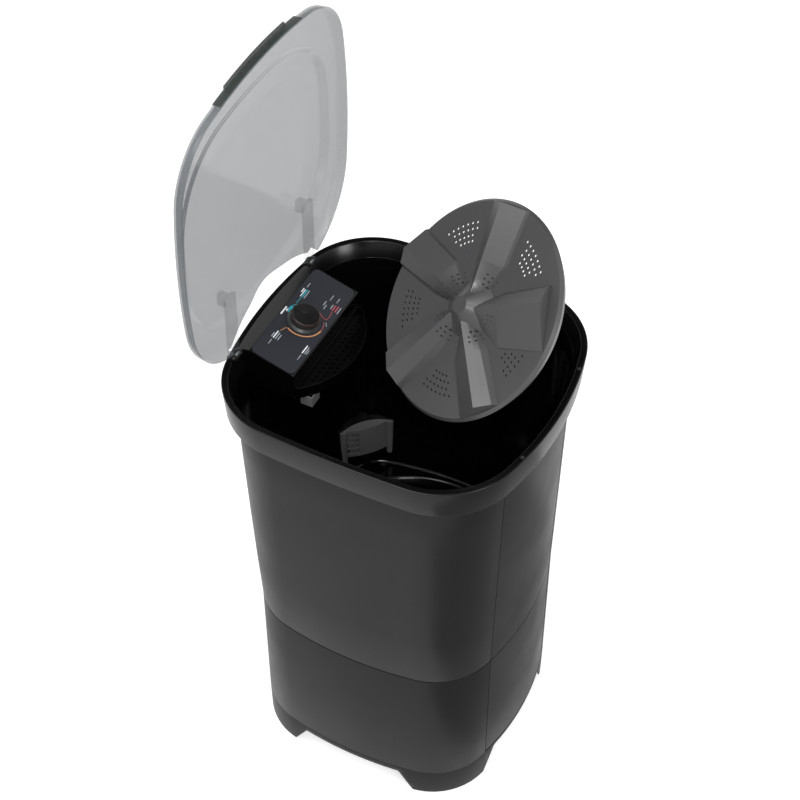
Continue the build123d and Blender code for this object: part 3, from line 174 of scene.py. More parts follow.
@dataclass(frozen=True)
class MouldedPlastic:
    """Injection-moulded plastic: an even colour, a fine moulded grain and slow waviness.

    The grain breaks up the highlights, and the patchy roughness keeps broad
    faces from looking like one flat tone.
    """

    name: str
    colour: str
    shade: str
    roughness: float
    roughness_spread: float = 0.05
    grain_mm: float = 1.2
    grain_depth: float = 0.05
    coat: float = 0.0
    ior: float = 1.5
    specular: float = 0.5

    def build(self) -> bpy.types.Material:
        """Make the material.

        Returns:
            The node material.
        """
        material, tree = blank_material(self.name)
        place = add_node(tree, "ShaderNodeTexCoord")
        grain = add_node(
            tree,
            "ShaderNodeTexNoise",
            values={"Scale": 1 / (self.grain_mm * MM), "Detail": 3.0, "Roughness": 0.6},
            links={"Vector": place.outputs["Object"]},
        )
        clouds = add_node(
            tree,
            "ShaderNodeTexNoise",
            values={"Scale": 9.0, "Detail": 4.0, "Roughness": 0.55},
            links={"Vector": place.outputs["Object"]},
        )
        tone = add_node(
            tree,
            "ShaderNodeMix",
            settings={"data_type": "RGBA"},
            links={"Factor": clouds.outputs["Fac"]},
        )
        socket(tone.inputs, "A_Color").default_value = linear(self.colour)
        socket(tone.inputs, "B_Color").default_value = linear(self.shade)
        rough = add_node(
            tree,
            "ShaderNodeMapRange",
            values={
                "From Min": 0.3,
                "From Max": 0.7,
                "To Min": self.roughness - self.roughness_spread,
                "To Max": self.roughness + self.roughness_spread,
            },
            links={"Value": clouds.outputs["Fac"]},
        )
        bump = add_node(
            tree,
            "ShaderNodeBump",
            values={"Strength": self.grain_depth, "Distance": 0.1 * MM},
            links={"Height": grain.outputs["Fac"]},
        )
        shader = add_node(
            tree,
            "ShaderNodeBsdfPrincipled",
            values={
                "IOR": self.ior,
                "Coat Weight": self.coat,
                "Coat Roughness": 0.04,
                "Specular IOR Level": self.specular,
            },
            links={
                "Base Color": socket(tone.outputs, "Result_Color"),
                "Roughness": rough.outputs["Result"],
                "Normal": bump.outputs["Normal"],
            },
        )
        add_node(tree, "ShaderNodeOutputMaterial", links={"Surface": shader.outputs["BSDF"]})
        return material


@dataclass(frozen=True)
class SmokedStyrene:
    """Clear styrene tinted grey: mostly seen through, with a crisp skin of reflection."""

    name: str
    colour: str
    alpha: float
    roughness: float = 0.1

    def build(self) -> bpy.types.Material:
        """Make the material.

        Returns:
            The node material.
        """
        material, tree = blank_material(self.name)
        place = add_node(tree, "ShaderNodeTexCoord")
        clouds = add_node(
            tree,
            "ShaderNodeTexNoise",
            values={"Scale": 6.0, "Detail": 2.0},
            links={"Vector": place.outputs["Object"]},
        )
        rough = add_node(
            tree,
            "ShaderNodeMapRange",
            values={"To Min": self.roughness * 0.7, "To Max": self.roughness * 1.5},
            links={"Value": clouds.outputs["Fac"]},
        )
        shader = add_node(
            tree,
            "ShaderNodeBsdfPrincipled",
            values={"Base Color": linear(self.colour), "IOR": 1.45, "Alpha": self.alpha},
            links={"Roughness": rough.outputs["Result"]},
        )
        add_node(tree, "ShaderNodeOutputMaterial", links={"Surface": shader.outputs["BSDF"]})
        return material


@dataclass(frozen=True)
class TurnedMetal:
    """Bare or plated metal with fine tool marks in its roughness."""

    name: str
    colour: str
    roughness: float
    mark_mm: float = 0.8

    def build(self) -> bpy.types.Material:
        """Make the material.

        Returns:
            The node material.
        """
        material, tree = blank_material(self.name)
        place = add_node(tree, "ShaderNodeTexCoord")
        marks = add_node(
            tree,
            "ShaderNodeTexNoise",
            values={"Scale": 1 / (self.mark_mm * MM), "Detail": 2.0},
            links={"Vector": place.outputs["Object"]},
        )
        rough = add_node(
            tree,
            "ShaderNodeMapRange",
            values={"To Min": self.roughness * 0.7, "To Max": self.roughness * 1.3},
            links={"Value": marks.outputs["Fac"]},
        )
        shader = add_node(
            tree,
            "ShaderNodeBsdfPrincipled",
            values={"Base Color": linear(self.colour), "Metallic": 1.0},
            links={"Roughness": rough.outputs["Result"]},
        )
        add_node(tree, "ShaderNodeOutputMaterial", links={"Surface": shader.outputs["BSDF"]})
        return material


@dataclass(frozen=True)
class PrintedInk:
    """Screen-printed ink on the label: flat colour with a slight unevenness."""

    name: str
    colour: str

    def build(self) -> bpy.types.Material:
        """Make the material.

        Returns:
            The node material.
        """
        return MouldedPlastic(
            self.name, self.colour, self.colour, 0.4, 0.1, grain_mm=0.6, grain_depth=0.02
        ).build()


@dataclass(frozen=True)
class Outline:
    """Plan outline in metres: bowed sides and ends joined by four tangent arcs."""

    half_width: float
    half_depth: float
    centre_y: float
    side_bow: float
    front_bow: float
    back_bow: float
    front_corner: float
    back_corner: float

    @staticmethod
    def mm(*sizes: float) -> "Outline":
        """Make an outline from sizes in millimetres."""
        return Outline(*(size * MM for size in sizes))

    def inset(self, depth: float) -> "Outline":
        """Give the parallel outline, smaller by depth all round."""
        return Outline(
            self.half_width - depth,
            self.half_depth - depth,
            self.centre_y,
            self.side_bow - depth,
            self.front_bow - depth,
            self.back_bow - depth,
            self.front_corner - depth,
            self.back_corner - depth,
        )

    def mixed(self, other: "Outline", share: float) -> "Outline":
        """Give the outline that lies a share of the way to another."""
        mine = (getattr(self, name) for name in self.__dataclass_fields__)
        theirs = (getattr(other, name) for name in self.__dataclass_fields__)
        return Outline(*(a + (b - a) * share for a, b in zip(mine, theirs)))

    def corner(self, end_bow: float, radius: float) -> tuple[np.ndarray, np.ndarray, np.ndarray]:
        """Find the corner arc between a side bow and an end bow.

        Args:
            end_bow: Radius of the end bow.
            radius: Radius of the corner arc.

        Returns:
            Centres of the side bow, the corner arc and the end bow.
        """
        side = np.array([self.half_width - self.side_bow, 0.0])
        end = np.array([0.0, self.half_depth - end_bow])
        reach = float(np.hypot(*(end - side)))
        along = ((self.side_bow - radius) ** 2 - (end_bow - radius) ** 2 + reach**2) / (2 * reach)
        across = math.sqrt((self.side_bow - radius) ** 2 - along**2)
        line = (end - side) / reach
        turned = np.array([-line[1], line[0]])
        options = [side + line * along + turned * sign * across for sign in (-1, 1)]
        return side, max(options, key=lambda point: float(point.sum())), end

    def quarter(self, end_bow: float, radius: float, split: float | None) -> np.ndarray:
        """Sample a quarter from the side's middle to the end's middle.

        Args:
            end_bow: Radius of the end bow.
            radius: Radius of the corner arc.
            split: A distance from the middle of the end that gets a point.

        Returns:
            Points in the first quadrant, from the X axis to the Y axis.
        """
        side, corner, end = self.corner(end_bow, radius)
        side_turn = math.atan2(*(corner - side)[::-1])
        end_turn = math.atan2(*(corner - end)[::-1])
        stops = [math.pi / 2]
        if split is not None:
            stops = [math.acos(split / end_bow), math.pi / 2]
        arcs = [(side, self.side_bow, 0.0, side_turn, SIDE_STEPS)]
        arcs.append((corner, radius, side_turn, end_turn, CORNER_STEPS))
        start = end_turn
        for stop in stops:
            arcs.append((end, end_bow, start, stop, END_STEPS))
            start = stop
        points = []
        for centre, bow, first, last, steps in arcs:
            for turn in np.linspace(first, last, steps, endpoint=False):
                points.append(centre + bow * np.array([math.cos(turn), math.sin(turn)]))
        return np.array(points)

    def points(self, split: float | None = PANEL_HALF) -> np.ndarray:
        """Sample the outline, starting at the middle of the front and going anticlockwise."""
        back = self.quarter(self.back_bow, self.back_corner, split)
        front = self.quarter(self.front_bow, self.front_corner, split)
        side_last = np.array([[0.0, self.half_depth]])
        right_front = np.concatenate([front, side_last])[::-1][:-1] * [1, -1]
        right_back = back
        left_back = np.concatenate([back, side_last])[::-1][:-1] * [-1, 1]
        left_front = front * [-1, -1]
        return np.concatenate([right_front, right_back, left_back, left_front]) + [0, self.centre_y]


def ring_at(outline: Outline, z: float, split: float | None = PANEL_HALF) -> Ring:
    """Give the outline's points at a height."""
    plan = outline.points(split)
    return np.column_stack([plan, np.full(len(plan), z)])


def circle_like(outline: Outline, radius: float, z: float) -> Ring:
    """Give a circle whose points lie in the same directions as the outline's."""
    plan = outline.points()
    angles = np.arctan2(plan[:, 1], plan[:, 0])
    return np.column_stack([np.cos(angles) * radius, np.sin(angles) * radius, np.full(len(plan), z)])


def rounded(
    profile: Sequence[Point2],
    radii: Sequence[float] | float,
    closed: bool = True,
    steps: int = 4,
) -> list[Point2]:
    """Round the corners of a flat profile.

    Args:
        profile: Corner points.
        radii: One radius, or one for each corner.
        closed: Whether the last point joins the first.
        steps: Points on each rounded corner.

    Returns:
        The profile with an arc for each corner.
    """
    sizes = [radii] * len(profile) if isinstance(radii, (int, float)) else list(radii)
    result: list[Point2] = []
    count = len(profile)
    for index, here in enumerate(profile):
        if (not closed and index in (0, count - 1)) or sizes[index] <= 0:
            result.append(here)
            continue
        corner = Vector(here)
        before = Vector(profile[index - 1]) - corner
        after = Vector(profile[(index + 1) % count]) - corner
        angle = before.angle(after)
        if angle > math.pi - 0.02:
            result.append(here)
            continue
        cut = min(sizes[index] / math.tan(angle / 2), 0.49 * before.length, 0.49 * after.length)
        start = corner + before.normalized() * cut
        end = corner + after.normalized() * cut
        for step in range(steps + 1):
            share = step / steps
            near = start.lerp(corner, share)
            far = corner.lerp(end, share)
            spot = near.lerp(far, share)
            result.append((spot.x, spot.y))
    return result


def new_object(
    name: str, vertices: Iterable[Sequence[float]], faces: Iterable[Sequence[int]]
) -> bpy.types.Object:
    """Make an object at the origin from vertices and faces."""
    mesh = bpy.data.meshes.new(name)
    mesh.from_pydata([tuple(map(float, vertex)) for vertex in vertices], [], [tuple(face) for face in faces])
    mesh.validate()
    piece = bpy.data.objects.new(name, mesh)
    bpy.context.scene.collection.objects.link(piece)
    return piece


def outward(piece: bpy.types.Object) -> bpy.types.Object:
    """Merge doubles and turn every face of a closed shape outwards."""
    work = bmesh.new()
    work.from_mesh(piece.data)
    bmesh.ops.remove_doubles(work, verts=work.verts, dist=1e-6)
    bmesh.ops.recalc_face_normals(work, faces=work.faces)
    if work.calc_volume(signed=True) < 0:
        bmesh.ops.reverse_faces(work, faces=work.faces)
    work.to_mesh(piece.data)
    work.free()
    return piece


def smooth(piece: bpy.types.Object, angle: float = 35.0) -> bpy.types.Object:
    """Shade smooth, with edges sharper than an angle in degrees kept crisp."""
    mesh = piece.data
    mesh.polygons.foreach_set("use_smooth", [True] * len(mesh.polygons))
    mesh.set_sharp_from_angle(angle=math.radians(angle))
    return piece


def loft(
    name: str,
    rings: Sequence[Ring],
    around: bool = True,
    through: bool = True,
    cap: bool = False,
    crown: bool = False,
) -> bpy.types.Object:
    """Join rings of equal length with quads.

    Args:
        name: Name of the piece.
        rings: Point rings in order.
        around: Whether each ring closes on itself.
        through: Whether the last ring joins the first.
        cap: Whether open ring ends are closed with one face each.
        crown: Whether the first and last rings are closed with one flat face each.

    Returns:
        The new object, with its faces outwards.
    """
    count = len(rings[0])
    vertices = np.concatenate(rings)
    faces = []
    last_ring = len(rings) if through else len(rings) - 1
    last_point = count if around else count - 1
    for row in range(last_ring):
        low = row * count
        high = ((row + 1) % len(rings)) * count
        for column in range(last_point):
            near = (column + 1) % count
            faces.append((low + column, low + near, high + near, high + column))
    if cap:
        faces.append(tuple(row * count for row in range(len(rings))))
        faces.append(tuple(row * count + count - 1 for row in range(len(rings)))[::-1])
    if crown:
        faces.append(tuple(range(count))[::-1])
        faces.append(tuple(range((len(rings) - 1) * count, len(rings) * count)))
    return outward(new_object(name, vertices, faces))


def bevelled(
    piece: bpy.types.Object, width: float, segments: int = 2, angle: float = 40.0
) -> bpy.types.Object:
    """Round the sharp edges of a piece with an applied bevel."""
    bevel = piece.modifiers.new("edge_rounding", "BEVEL")
    bevel.width = width
    bevel.segments = segments
    bevel.limit_method = "ANGLE"
    bevel.angle_limit = math.radians(angle)
    bevel.use_clamp_overlap = True
    bevel.harden_normals = False
    return applied(piece)


def applied(piece: bpy.types.Object) -> bpy.types.Object:
    """Turn the evaluated shape of a piece into its plain mesh."""
    graph = bpy.context.evaluated_depsgraph_get()
    mesh = bpy.data.meshes.new_from_object(piece.evaluated_get(graph))
    piece.modifiers.clear()
    old = piece.data
    piece.data = mesh
    bpy.data.meshes.remove(old)
    return piece


def cut(piece: bpy.types.Object, *cutters: bpy.types.Object) -> bpy.types.Object:
    """Subtract cutters from a piece and delete them."""
    for cutter in cutters:
        difference = piece.modifiers.new("cut", "BOOLEAN")
        difference.operation = "DIFFERENCE"
        difference.solver = "MANIFOLD"
        difference.object = cutter
        applied(piece)
        bpy.data.objects.remove(cutter)
    return piece


def prism(
    name: str, plan: Sequence[Sequence[float]], frame: Matrix, low: float, high: float
) -> bpy.types.Object:
    """Make an upright prism over a flat outline, placed by a frame."""
    count = len(plan)
    vertices = [frame @ Vector((x, y, z)) for z in (low, high) for x, y in plan]
    faces = [tuple(range(count))[::-1], tuple(range(count, 2 * count))]
    faces += [(i, (i + 1) % count, (i + 1) % count + count, i + count) for i in range(count)]
    return outward(new_object(name, vertices, faces))


def circle_plan(radius: float, steps: int = 64, x: float = 0.0, y: float = 0.0) -> list[Point2]:
    """Give the points of a circle."""
    turns = [2 * math.pi * step / steps for step in range(steps)]
    return [(x + radius * math.cos(turn), y + radius * math.sin(turn)) for turn in turns]


def rectangle_plan(width: float, depth: float, radius: float, x: float = 0.0, y: float = 0.0) -> list[Point2]:
    """Give the points of a rectangle with round corners."""
    half_w, half_d = width / 2, depth / 2
    signs = ((-1, -1), (1, -1), (1, 1), (-1, 1))
    corners = [(x + side * half_w, y + end * half_d) for side, end in signs]
    return rounded(corners, radius, steps=8)


def lathe(name: str, profile: Sequence[Point2], frame: Matrix, steps: int = 96) -> bpy.types.Object:
    """Spin a closed profile of (radius, height) about a frame's Z axis."""
    rings = []
    for step in range(steps):
        turn = 2 * math.pi * step / steps
        across, along = math.cos(turn), math.sin(turn)
        rings.append(np.array([frame @ Vector((r * across, r * along, h)) for r, h in profile]))
    return loft(name, rings)


def joined(name: str, pieces: Sequence[bpy.types.Object]) -> bpy.types.Object:
    """Join objects into one piece at the origin."""
    work = bmesh.new()
    materials: list[bpy.types.Material] = []
    for piece in pieces:
        start = len(work.faces)
        work.from_mesh(piece.data)
        work.faces.ensure_lookup_table()
        for face in work.faces[start:]:
            source = piece.data.materials[face.material_index] if piece.data.materials else None
            if source and source not in materials:
                materials.append(source)
            face.material_index = materials.index(source) if source else 0
    mesh = bpy.data.meshes.new(name)
    work.to_mesh(mesh)
    work.free()
    for material in materials:
        mesh.materials.append(material)
    result = bpy.data.objects.new(name, mesh)
    bpy.context.scene.collection.objects.link(result)
    for piece in pieces:
        bpy.data.objects.remove(piece)
    return result


def levelled(piece: bpy.types.Object) -> bpy.types.Object:
    """Weight the normals by face area, so that flat faces look flat up to their rounded edges."""
    weights = piece.modifiers.new("level_faces", "WEIGHTED_NORMAL")
    weights.mode = "FACE_AREA"
    weights.keep_sharp = True
    return applied(piece)


def refined(frame: dict, node: str, width: float, angle: float = 35.0, segments: int = 2) -> bpy.types.Object:
    """Copy a CAD node, merge its triangles into faces and round its edges.

    Args:
        frame: The loaded frame.
        node: Name of the CAD node.
        width: Width of the rounding.
        angle: Smallest edge angle that is rounded, in degrees.
        segments: Facets of each rounding.

    Returns:
        The refined copy.
    """
    mesh = frame["nodes"][node].data.copy()
    piece = bpy.data.objects.new(f"{node}_finished", mesh)
    bpy.context.scene.collection.objects.link(piece)
    mesh.materials.clear()
    work = bmesh.new()
    work.from_mesh(mesh)
    bmesh.ops.remove_doubles(work, verts=work.verts, dist=1e-5)
    bmesh.ops.dissolve_limit(
        work, angle_limit=math.radians(1.0), use_dissolve_boundaries=False, verts=work.verts, edges=work.edges
    )
    work.to_mesh(mesh)
    work.free()
    return levelled(smooth(bevelled(piece, width, segments, angle), 50.0))


@dataclass
class Finishes:
    """Every finish of the machine, made once."""

    table: dict[str, bpy.types.Material] = field(default_factory=dict)

    def make(self) -> None:
        """Build the materials."""
        recipes = (
            # Charcoal ABS, spark-eroded mould: near black, satin, with broad soft highlights.
            MouldedPlastic("charcoal_abs", "0b0b0c", "0e0e0f", 0.33, grain_depth=0.06, specular=0.23),
            # Black polypropylene from a polished mould: deep black with clear reflections.
            MouldedPlastic("polished_black_polypropylene", "040404", "060606", 0.12, 0.03, grain_depth=0.01, specular=0.3),
            # Collar: the same plastic as the casing from a polished mould.
            MouldedPlastic("polished_charcoal_abs", "080808", "0b0b0b", 0.22, 0.04, grain_depth=0.015, specular=0.26),
            # Pulsator: grey polypropylene with a semi-gloss face that flashes on its slopes.
            MouldedPlastic("grey_polypropylene", "3d3d3e", "434344", 0.3, 0.04, grain_depth=0.03),
            # Grip, arms and brackets: black ABS, satin.
            MouldedPlastic("satin_black_abs", "0e0e0f", "131314", 0.4, specular=0.4),
            # Tray and strainer: black ABS, glossier than the grip.
            MouldedPlastic("gloss_black_abs", "030303", "050505", 0.18, 0.03, grain_depth=0.01, specular=0.2),
            # Filter: dark polypropylene, satin.
            MouldedPlastic("dark_polypropylene", "686869", "6e6e6f", 0.35),
            # Rinse spout: grey polypropylene, matt.
            MouldedPlastic("matt_grey_polypropylene", "6a6a6b", "707071", 0.5),
            # Label: slate polycarbonate film with a fine matt face.
            MouldedPlastic("slate_polycarbonate_film", "191c24", "1c1f27", 0.42, 0.03, grain_mm=0.6, grain_depth=0.02),
            # Knob cap: black ABS with a soft sheen.
            MouldedPlastic("knob_black_abs", "060607", "09090a", 0.35, specular=0.35),
            # Knob skirt: dark grey ABS, a shade lighter than the cap.
            MouldedPlastic("knob_grey_abs", "1b1d1f", "202224", 0.4),
            # Nitrile rubber: dull and very dark.
            MouldedPlastic("nitrile_rubber", "151515", "1b1b1b", 0.65, grain_depth=0.1),
            # Natural nylon: off-white and waxy.
            MouldedPlastic("natural_nylon", "d6d2c4", "cfcabb", 0.45),
            # Baked enamel on the motor case: even black with a mild gloss.
            MouldedPlastic("black_baked_enamel", "161616", "1a1a1a", 0.3),
            # Smoked styrene of the lid: pale grey against white, darker where walls overlap.
            SmokedStyrene("smoked_styrene", "575d62", 0.48),
            # Lid arms: the same styrene, thicker and darker.
            SmokedStyrene("smoked_styrene_arm", "575d62", 0.16),
            # Grip: dark tinted styrene that lets little light through.
            SmokedStyrene("tinted_styrene_grip", "343a38", 0.78, 0.3),
            TurnedMetal("zinc_plated_steel", "c4c3bd", 0.32),
            TurnedMetal("die_cast_aluminium", "b9babd", 0.45, mark_mm=1.6),
            PrintedInk("ink_white", "e6e8ea"),
            PrintedInk("ink_grey", "9aa0a8"),
            PrintedInk("ink_teal", "1fa7b4"),
            PrintedInk("ink_orange", "c98d5c"),
            PrintedInk("ink_red", "b4505a"),
            # Thin metallised ring on the knob's edge.
            TurnedMetal("copper_ring", "8a6248", 0.35),
        )
        self.table = {recipe.name: recipe.build() for recipe in recipes}

    def dress(self, piece: bpy.types.Object, name: str) -> bpy.types.Object:
        """Give a piece one finish."""
        piece.data.materials.clear()
        piece.data.materials.append(self.table[name])
        return piece


def settle(piece: bpy.types.Object, body: Body, slot: Slot, *nodes: str) -> None:
    """Put a finished piece on its body and hide the CAD nodes that it replaces.

    Args:
        piece: The finished piece.
        body: Body that it moves with.
        slot: Material slot of the record; not used.
        nodes: CAD nodes that it replaces.
    """
    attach(piece, body.value)
    if nodes:
        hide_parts(*nodes)
    LOG.info("%s rides on %s", piece.name, body.value)


def eased(rings: Sequence[Ring], radii: Sequence[float], closed: bool = False, steps: int = 3) -> list[Ring]:
    """Round the corners between lofted rings.

    Args:
        rings: Point rings in order.
        radii: Rounding of each ring's corner, in metres.
        closed: Whether the last ring joins the first.
        steps: Facets of each rounding.

    Returns:
        The rings with an arc of rings for each corner.
    """
    result: list[Ring] = []
    count = len(rings)
    for index, (here, radius) in enumerate(zip(rings, radii)):
        if radius <= 0 or (not closed and index in (0, count - 1)):
            result.append(here)
            continue
        before = rings[index - 1] - here
        after = rings[(index + 1) % count] - here
        reach_before = np.linalg.norm(before, axis=1, keepdims=True)
        reach_after = np.linalg.norm(after, axis=1, keepdims=True)
        cut_back = np.minimum(radius, 0.45 * np.minimum(reach_before, reach_after))
        start = here + before / np.maximum(reach_before, 1e-9) * cut_back
        end = here + after / np.maximum(reach_after, 1e-9) * cut_back
        for share in np.linspace(0, 1, steps + 1):
            near = start + (here - start) * share
            far = here + (end - here) * share
            result.append(near + (far - near) * share)
    return result


def upright(x: float, y: float, z: float = 0.0) -> Matrix:
    """Frame with its axes along the machine's."""
    return Matrix.Translation((x, y, z))


@dataclass
class Casing:
    """Charcoal body: upper shell, base skirt, front panel and foot ring."""

    foot: Outline = Outline.mm(249, 258, 0, 737, 526, 526, 131, 131)
    base: Outline = Outline.mm(250, 259, 0, 737, 526, 526, 131, 131)
    groove: Outline = Outline.mm(251, 260, 0, 737, 526, 526, 131, 131)
    top: Outline = Outline.mm(252, 272.5, 3.3, 2177, 597, 787, 133, 127)
    base_z: float = 72 * MM
    groove_z: float = 379 * MM
    top_z: float = 897 * MM
    groove_half: float = 1 * MM
    groove_depth: float = 1.2 * MM
    wall: float = 3 * MM
    gap: float = 0.3 * MM
    seam: float = 2.0 * MM
    lap: float = 1.2 * MM
    lap_top: float = 800 * MM
    edge: float = 0.9 * MM
    panel_bottom: float = 74 * MM
    foot_bottom: float = 4 * MM
    foot_wall: float = 4 * MM
    deck_depth: float = 45 * MM
    deck_z: float = 66 * MM
    arch_bottom: float = 136 * MM
    arch_top: float = 104 * MM
    side_arch_z: float = 57 * MM
    end_arch_z: float = 66 * MM
    arch_corner: float = 8 * MM
    sole_low: float = 8 * MM
    sole_high: float = 13 * MM
    bolt_place: Point2 = (180 * MM, 185 * MM)
    bolt_hole: float = 4.2 * MM

    def at(self, z: float, inset: float) -> Ring:
        """Ring of the casing at a height, inset from the outer face."""
        stations = (
            (self.foot, 0.0),
            (self.base, self.base_z),
            (self.groove, self.groove_z),
            (self.top, self.top_z),
        )
        for (low, low_z), (high, high_z) in zip(stations, stations[1:]):
            if z <= high_z + 1e-9:
                return ring_at(low.mixed(high, (z - low_z) / (high_z - low_z)).inset(inset), z)
        raise ValueError(f"no casing at height {z}")

    def wall_rings(self, heights: Sequence[float], outer: Sequence[float], inner: float) -> list[Ring]:
        """Rings up the outer face and down the inner face, with eased lips."""
        up = [self.at(z, inset) for z, inset in zip(heights, outer)]
        down = [self.at(z, inner) for z in reversed(heights)]
        radii = [self.edge] + [0.0] * (len(up) - 2) + [self.edge]
        return eased(up + down, radii + radii, closed=True)

    @staticmethod
    def strip(name: str, rings: Sequence[Ring], front: bool) -> bpy.types.Object:
        """Loft only the front of the rings between the panel seams, or all but the front."""
        count = len(rings[0])
        half = END_STEPS
        if front:
            order = [index % count for index in range(-half, half + 1)]
        else:
            order = list(range(half, count - half + 1))
        return loft(name, [ring[order] for ring in rings], around=False, cap=True)

    def upper_shell(self) -> bpy.types.Object:
        """Make the upper shell, open at the front panel."""
        low = self.groove_z + self.groove_half
        heights = [low, low + 0.12, 0.62, 0.8, self.top_z]
        rings = self.wall_rings(heights, [0.0] * len(heights), self.wall)
        return self.strip("upper_shell", rings, front=False)

    def skirt(self) -> bpy.types.Object:
        """Make the base skirt with the lip that the shell stands over."""
        high = self.groove_z - self.groove_half
        heights = [self.base_z, 0.2, high]
        skirt = self.strip("skirt_wall", self.wall_rings(heights, [0.0] * 3, self.wall), front=False)
        lip_top = high + 4 * self.wall
        lip = [self.at(high - 4 * self.wall, self.wall - MM), self.at(high, self.wall - MM)]
        lip += [self.at(high, self.wall + self.gap), self.at(lip_top, self.wall + self.gap)]
        lip += [self.at(lip_top, 2 * self.wall), self.at(high - 4 * self.wall, 2 * self.wall)]
        return joined("base_skirt_wall", [skirt, self.strip("skirt_lip", lip, front=False)])

    def panel(self) -> bpy.types.Object:
        """Make the front panel with the casing's groove running across it."""
        low, high = self.groove_z - self.groove_half, self.groove_z + self.groove_half
        top = self.top_z - self.wall - self.gap
        heights = [self.panel_bottom, 0.2, low - self.gap, low, high, high + self.gap, 0.6, top]
        insets = [0.0, 0.0, 0.0, self.groove_depth, self.groove_depth, 0.0, 0.0, 0.0]
        panel = self.strip("front_panel_sheet", self.wall_rings(heights, insets, self.wall), front=True)
        for vertex in panel.data.vertices:
            vertex.co.x *= (PANEL_HALF - self.seam) / PANEL_HALF
        return joined("front_panel_lapped", [panel, self.lap_strip(1), self.lap_strip(-1)])

    def lap_strip(self, side: int) -> bpy.types.Object:
        """Make the strip behind one seam, which keeps light from showing through it.

        Args:
            side: Side of the machine, minus one or one.

        Returns:
            The strip.
        """
        heights = [self.panel_bottom, self.groove_z, self.lap_top]
        front, back = self.wall + self.gap, self.wall + self.gap + self.lap
        rings = [self.at(z, front) for z in heights] + [self.at(z, back) for z in reversed(heights)]
        count = len(rings[0])
        order = [side * step % count for step in range(END_STEPS - 1, END_STEPS + 3)]
        return loft("lap_strip", [ring[order] for ring in rings], around=False, cap=True)

    def foot_ring(self) -> bpy.types.Object:
        """Make the moulded base: corner feet joined by arches, with a deck."""
        heights = [self.foot_bottom, 0.03, self.base_z]
        ring = loft("foot_wall", self.wall_rings(heights, [0.0] * 3, self.foot_wall))
        for turned, top in ((False, self.end_arch_z), (True, self.side_arch_z)):
            below = self.arch_bottom + (self.arch_bottom - self.arch_top) * 0.5
            corners = [(-below, -0.5 * top), (below, -0.5 * top), (self.arch_top, top), (-self.arch_top, top)]
            plan = rounded(corners, [0.0, 0.0, self.arch_corner, self.arch_corner], steps=8)
            axes = Matrix.Rotation(math.pi / 2, 4, "X")
            if turned:
                axes = Matrix.Rotation(math.pi / 2, 4, "Z") @ axes
            cut(ring, prism("arch", plan, axes, -0.5, 0.5))
        bevelled(ring, 1.0 * MM, 2, 50)
        deck = [self.at(self.deck_z, self.foot_wall - MM), self.at(self.base_z, self.foot_wall - MM)]
        deck += [self.at(self.base_z, self.deck_depth), self.at(self.deck_z, self.deck_depth)]
        soles = [self.sole(x, y) for x in (-1, 1) for y in (-1, 1)]
        return joined("foot_ring_moulding", [ring, loft("foot_deck", eased(deck, [MM] * 4, True)), *soles])

    def sole(self, x: int, y: int) -> bpy.types.Object:
        """Make the sole plate of one corner foot, with its bolt hole.

        Args:
            x: Side of the machine, minus one or one.
            y: End of the machine, minus one or one.

        Returns:
            The plate.
        """
        half = self.arch_bottom
        outline = self.foot.inset(self.foot_wall - MM).points()
        bow = [tuple(point) for point in outline if point[0] > half and point[1] > half]
        bow.sort(key=lambda point: math.atan2(point[1] - half, point[0] - half))
        plan = [(half, half), (bow[0][0], half), *bow, (half, bow[-1][1])]
        hole_x, hole_y = self.bolt_place
        frame = Matrix.Diagonal((x, y, 1, 1))
        plate = prism("sole", plan, frame, self.sole_low, self.sole_high)
        circle = circle_plan(self.bolt_hole, 32, hole_x, hole_y)
        hole = prism("bolt_hole", circle, frame, 0, 2 * self.sole_high)
        return bevelled(cut(plate, hole), 0.4 * MM, 1)

    def build(self, frame: dict, finishes: Finishes) -> None:
        """Make, dress and place the casing pieces."""
        for piece, node in (
            (self.upper_shell(), "cabinet_shell"),
            (self.skirt(), "base_skirt"),
            (self.panel(), "front_panel"),
            (self.foot_ring(), "foot_ring"),
        ):
            smooth(finishes.dress(piece, "charcoal_abs"), 30)
            settle(piece, Body.CABINET, Slot.CASING, node)


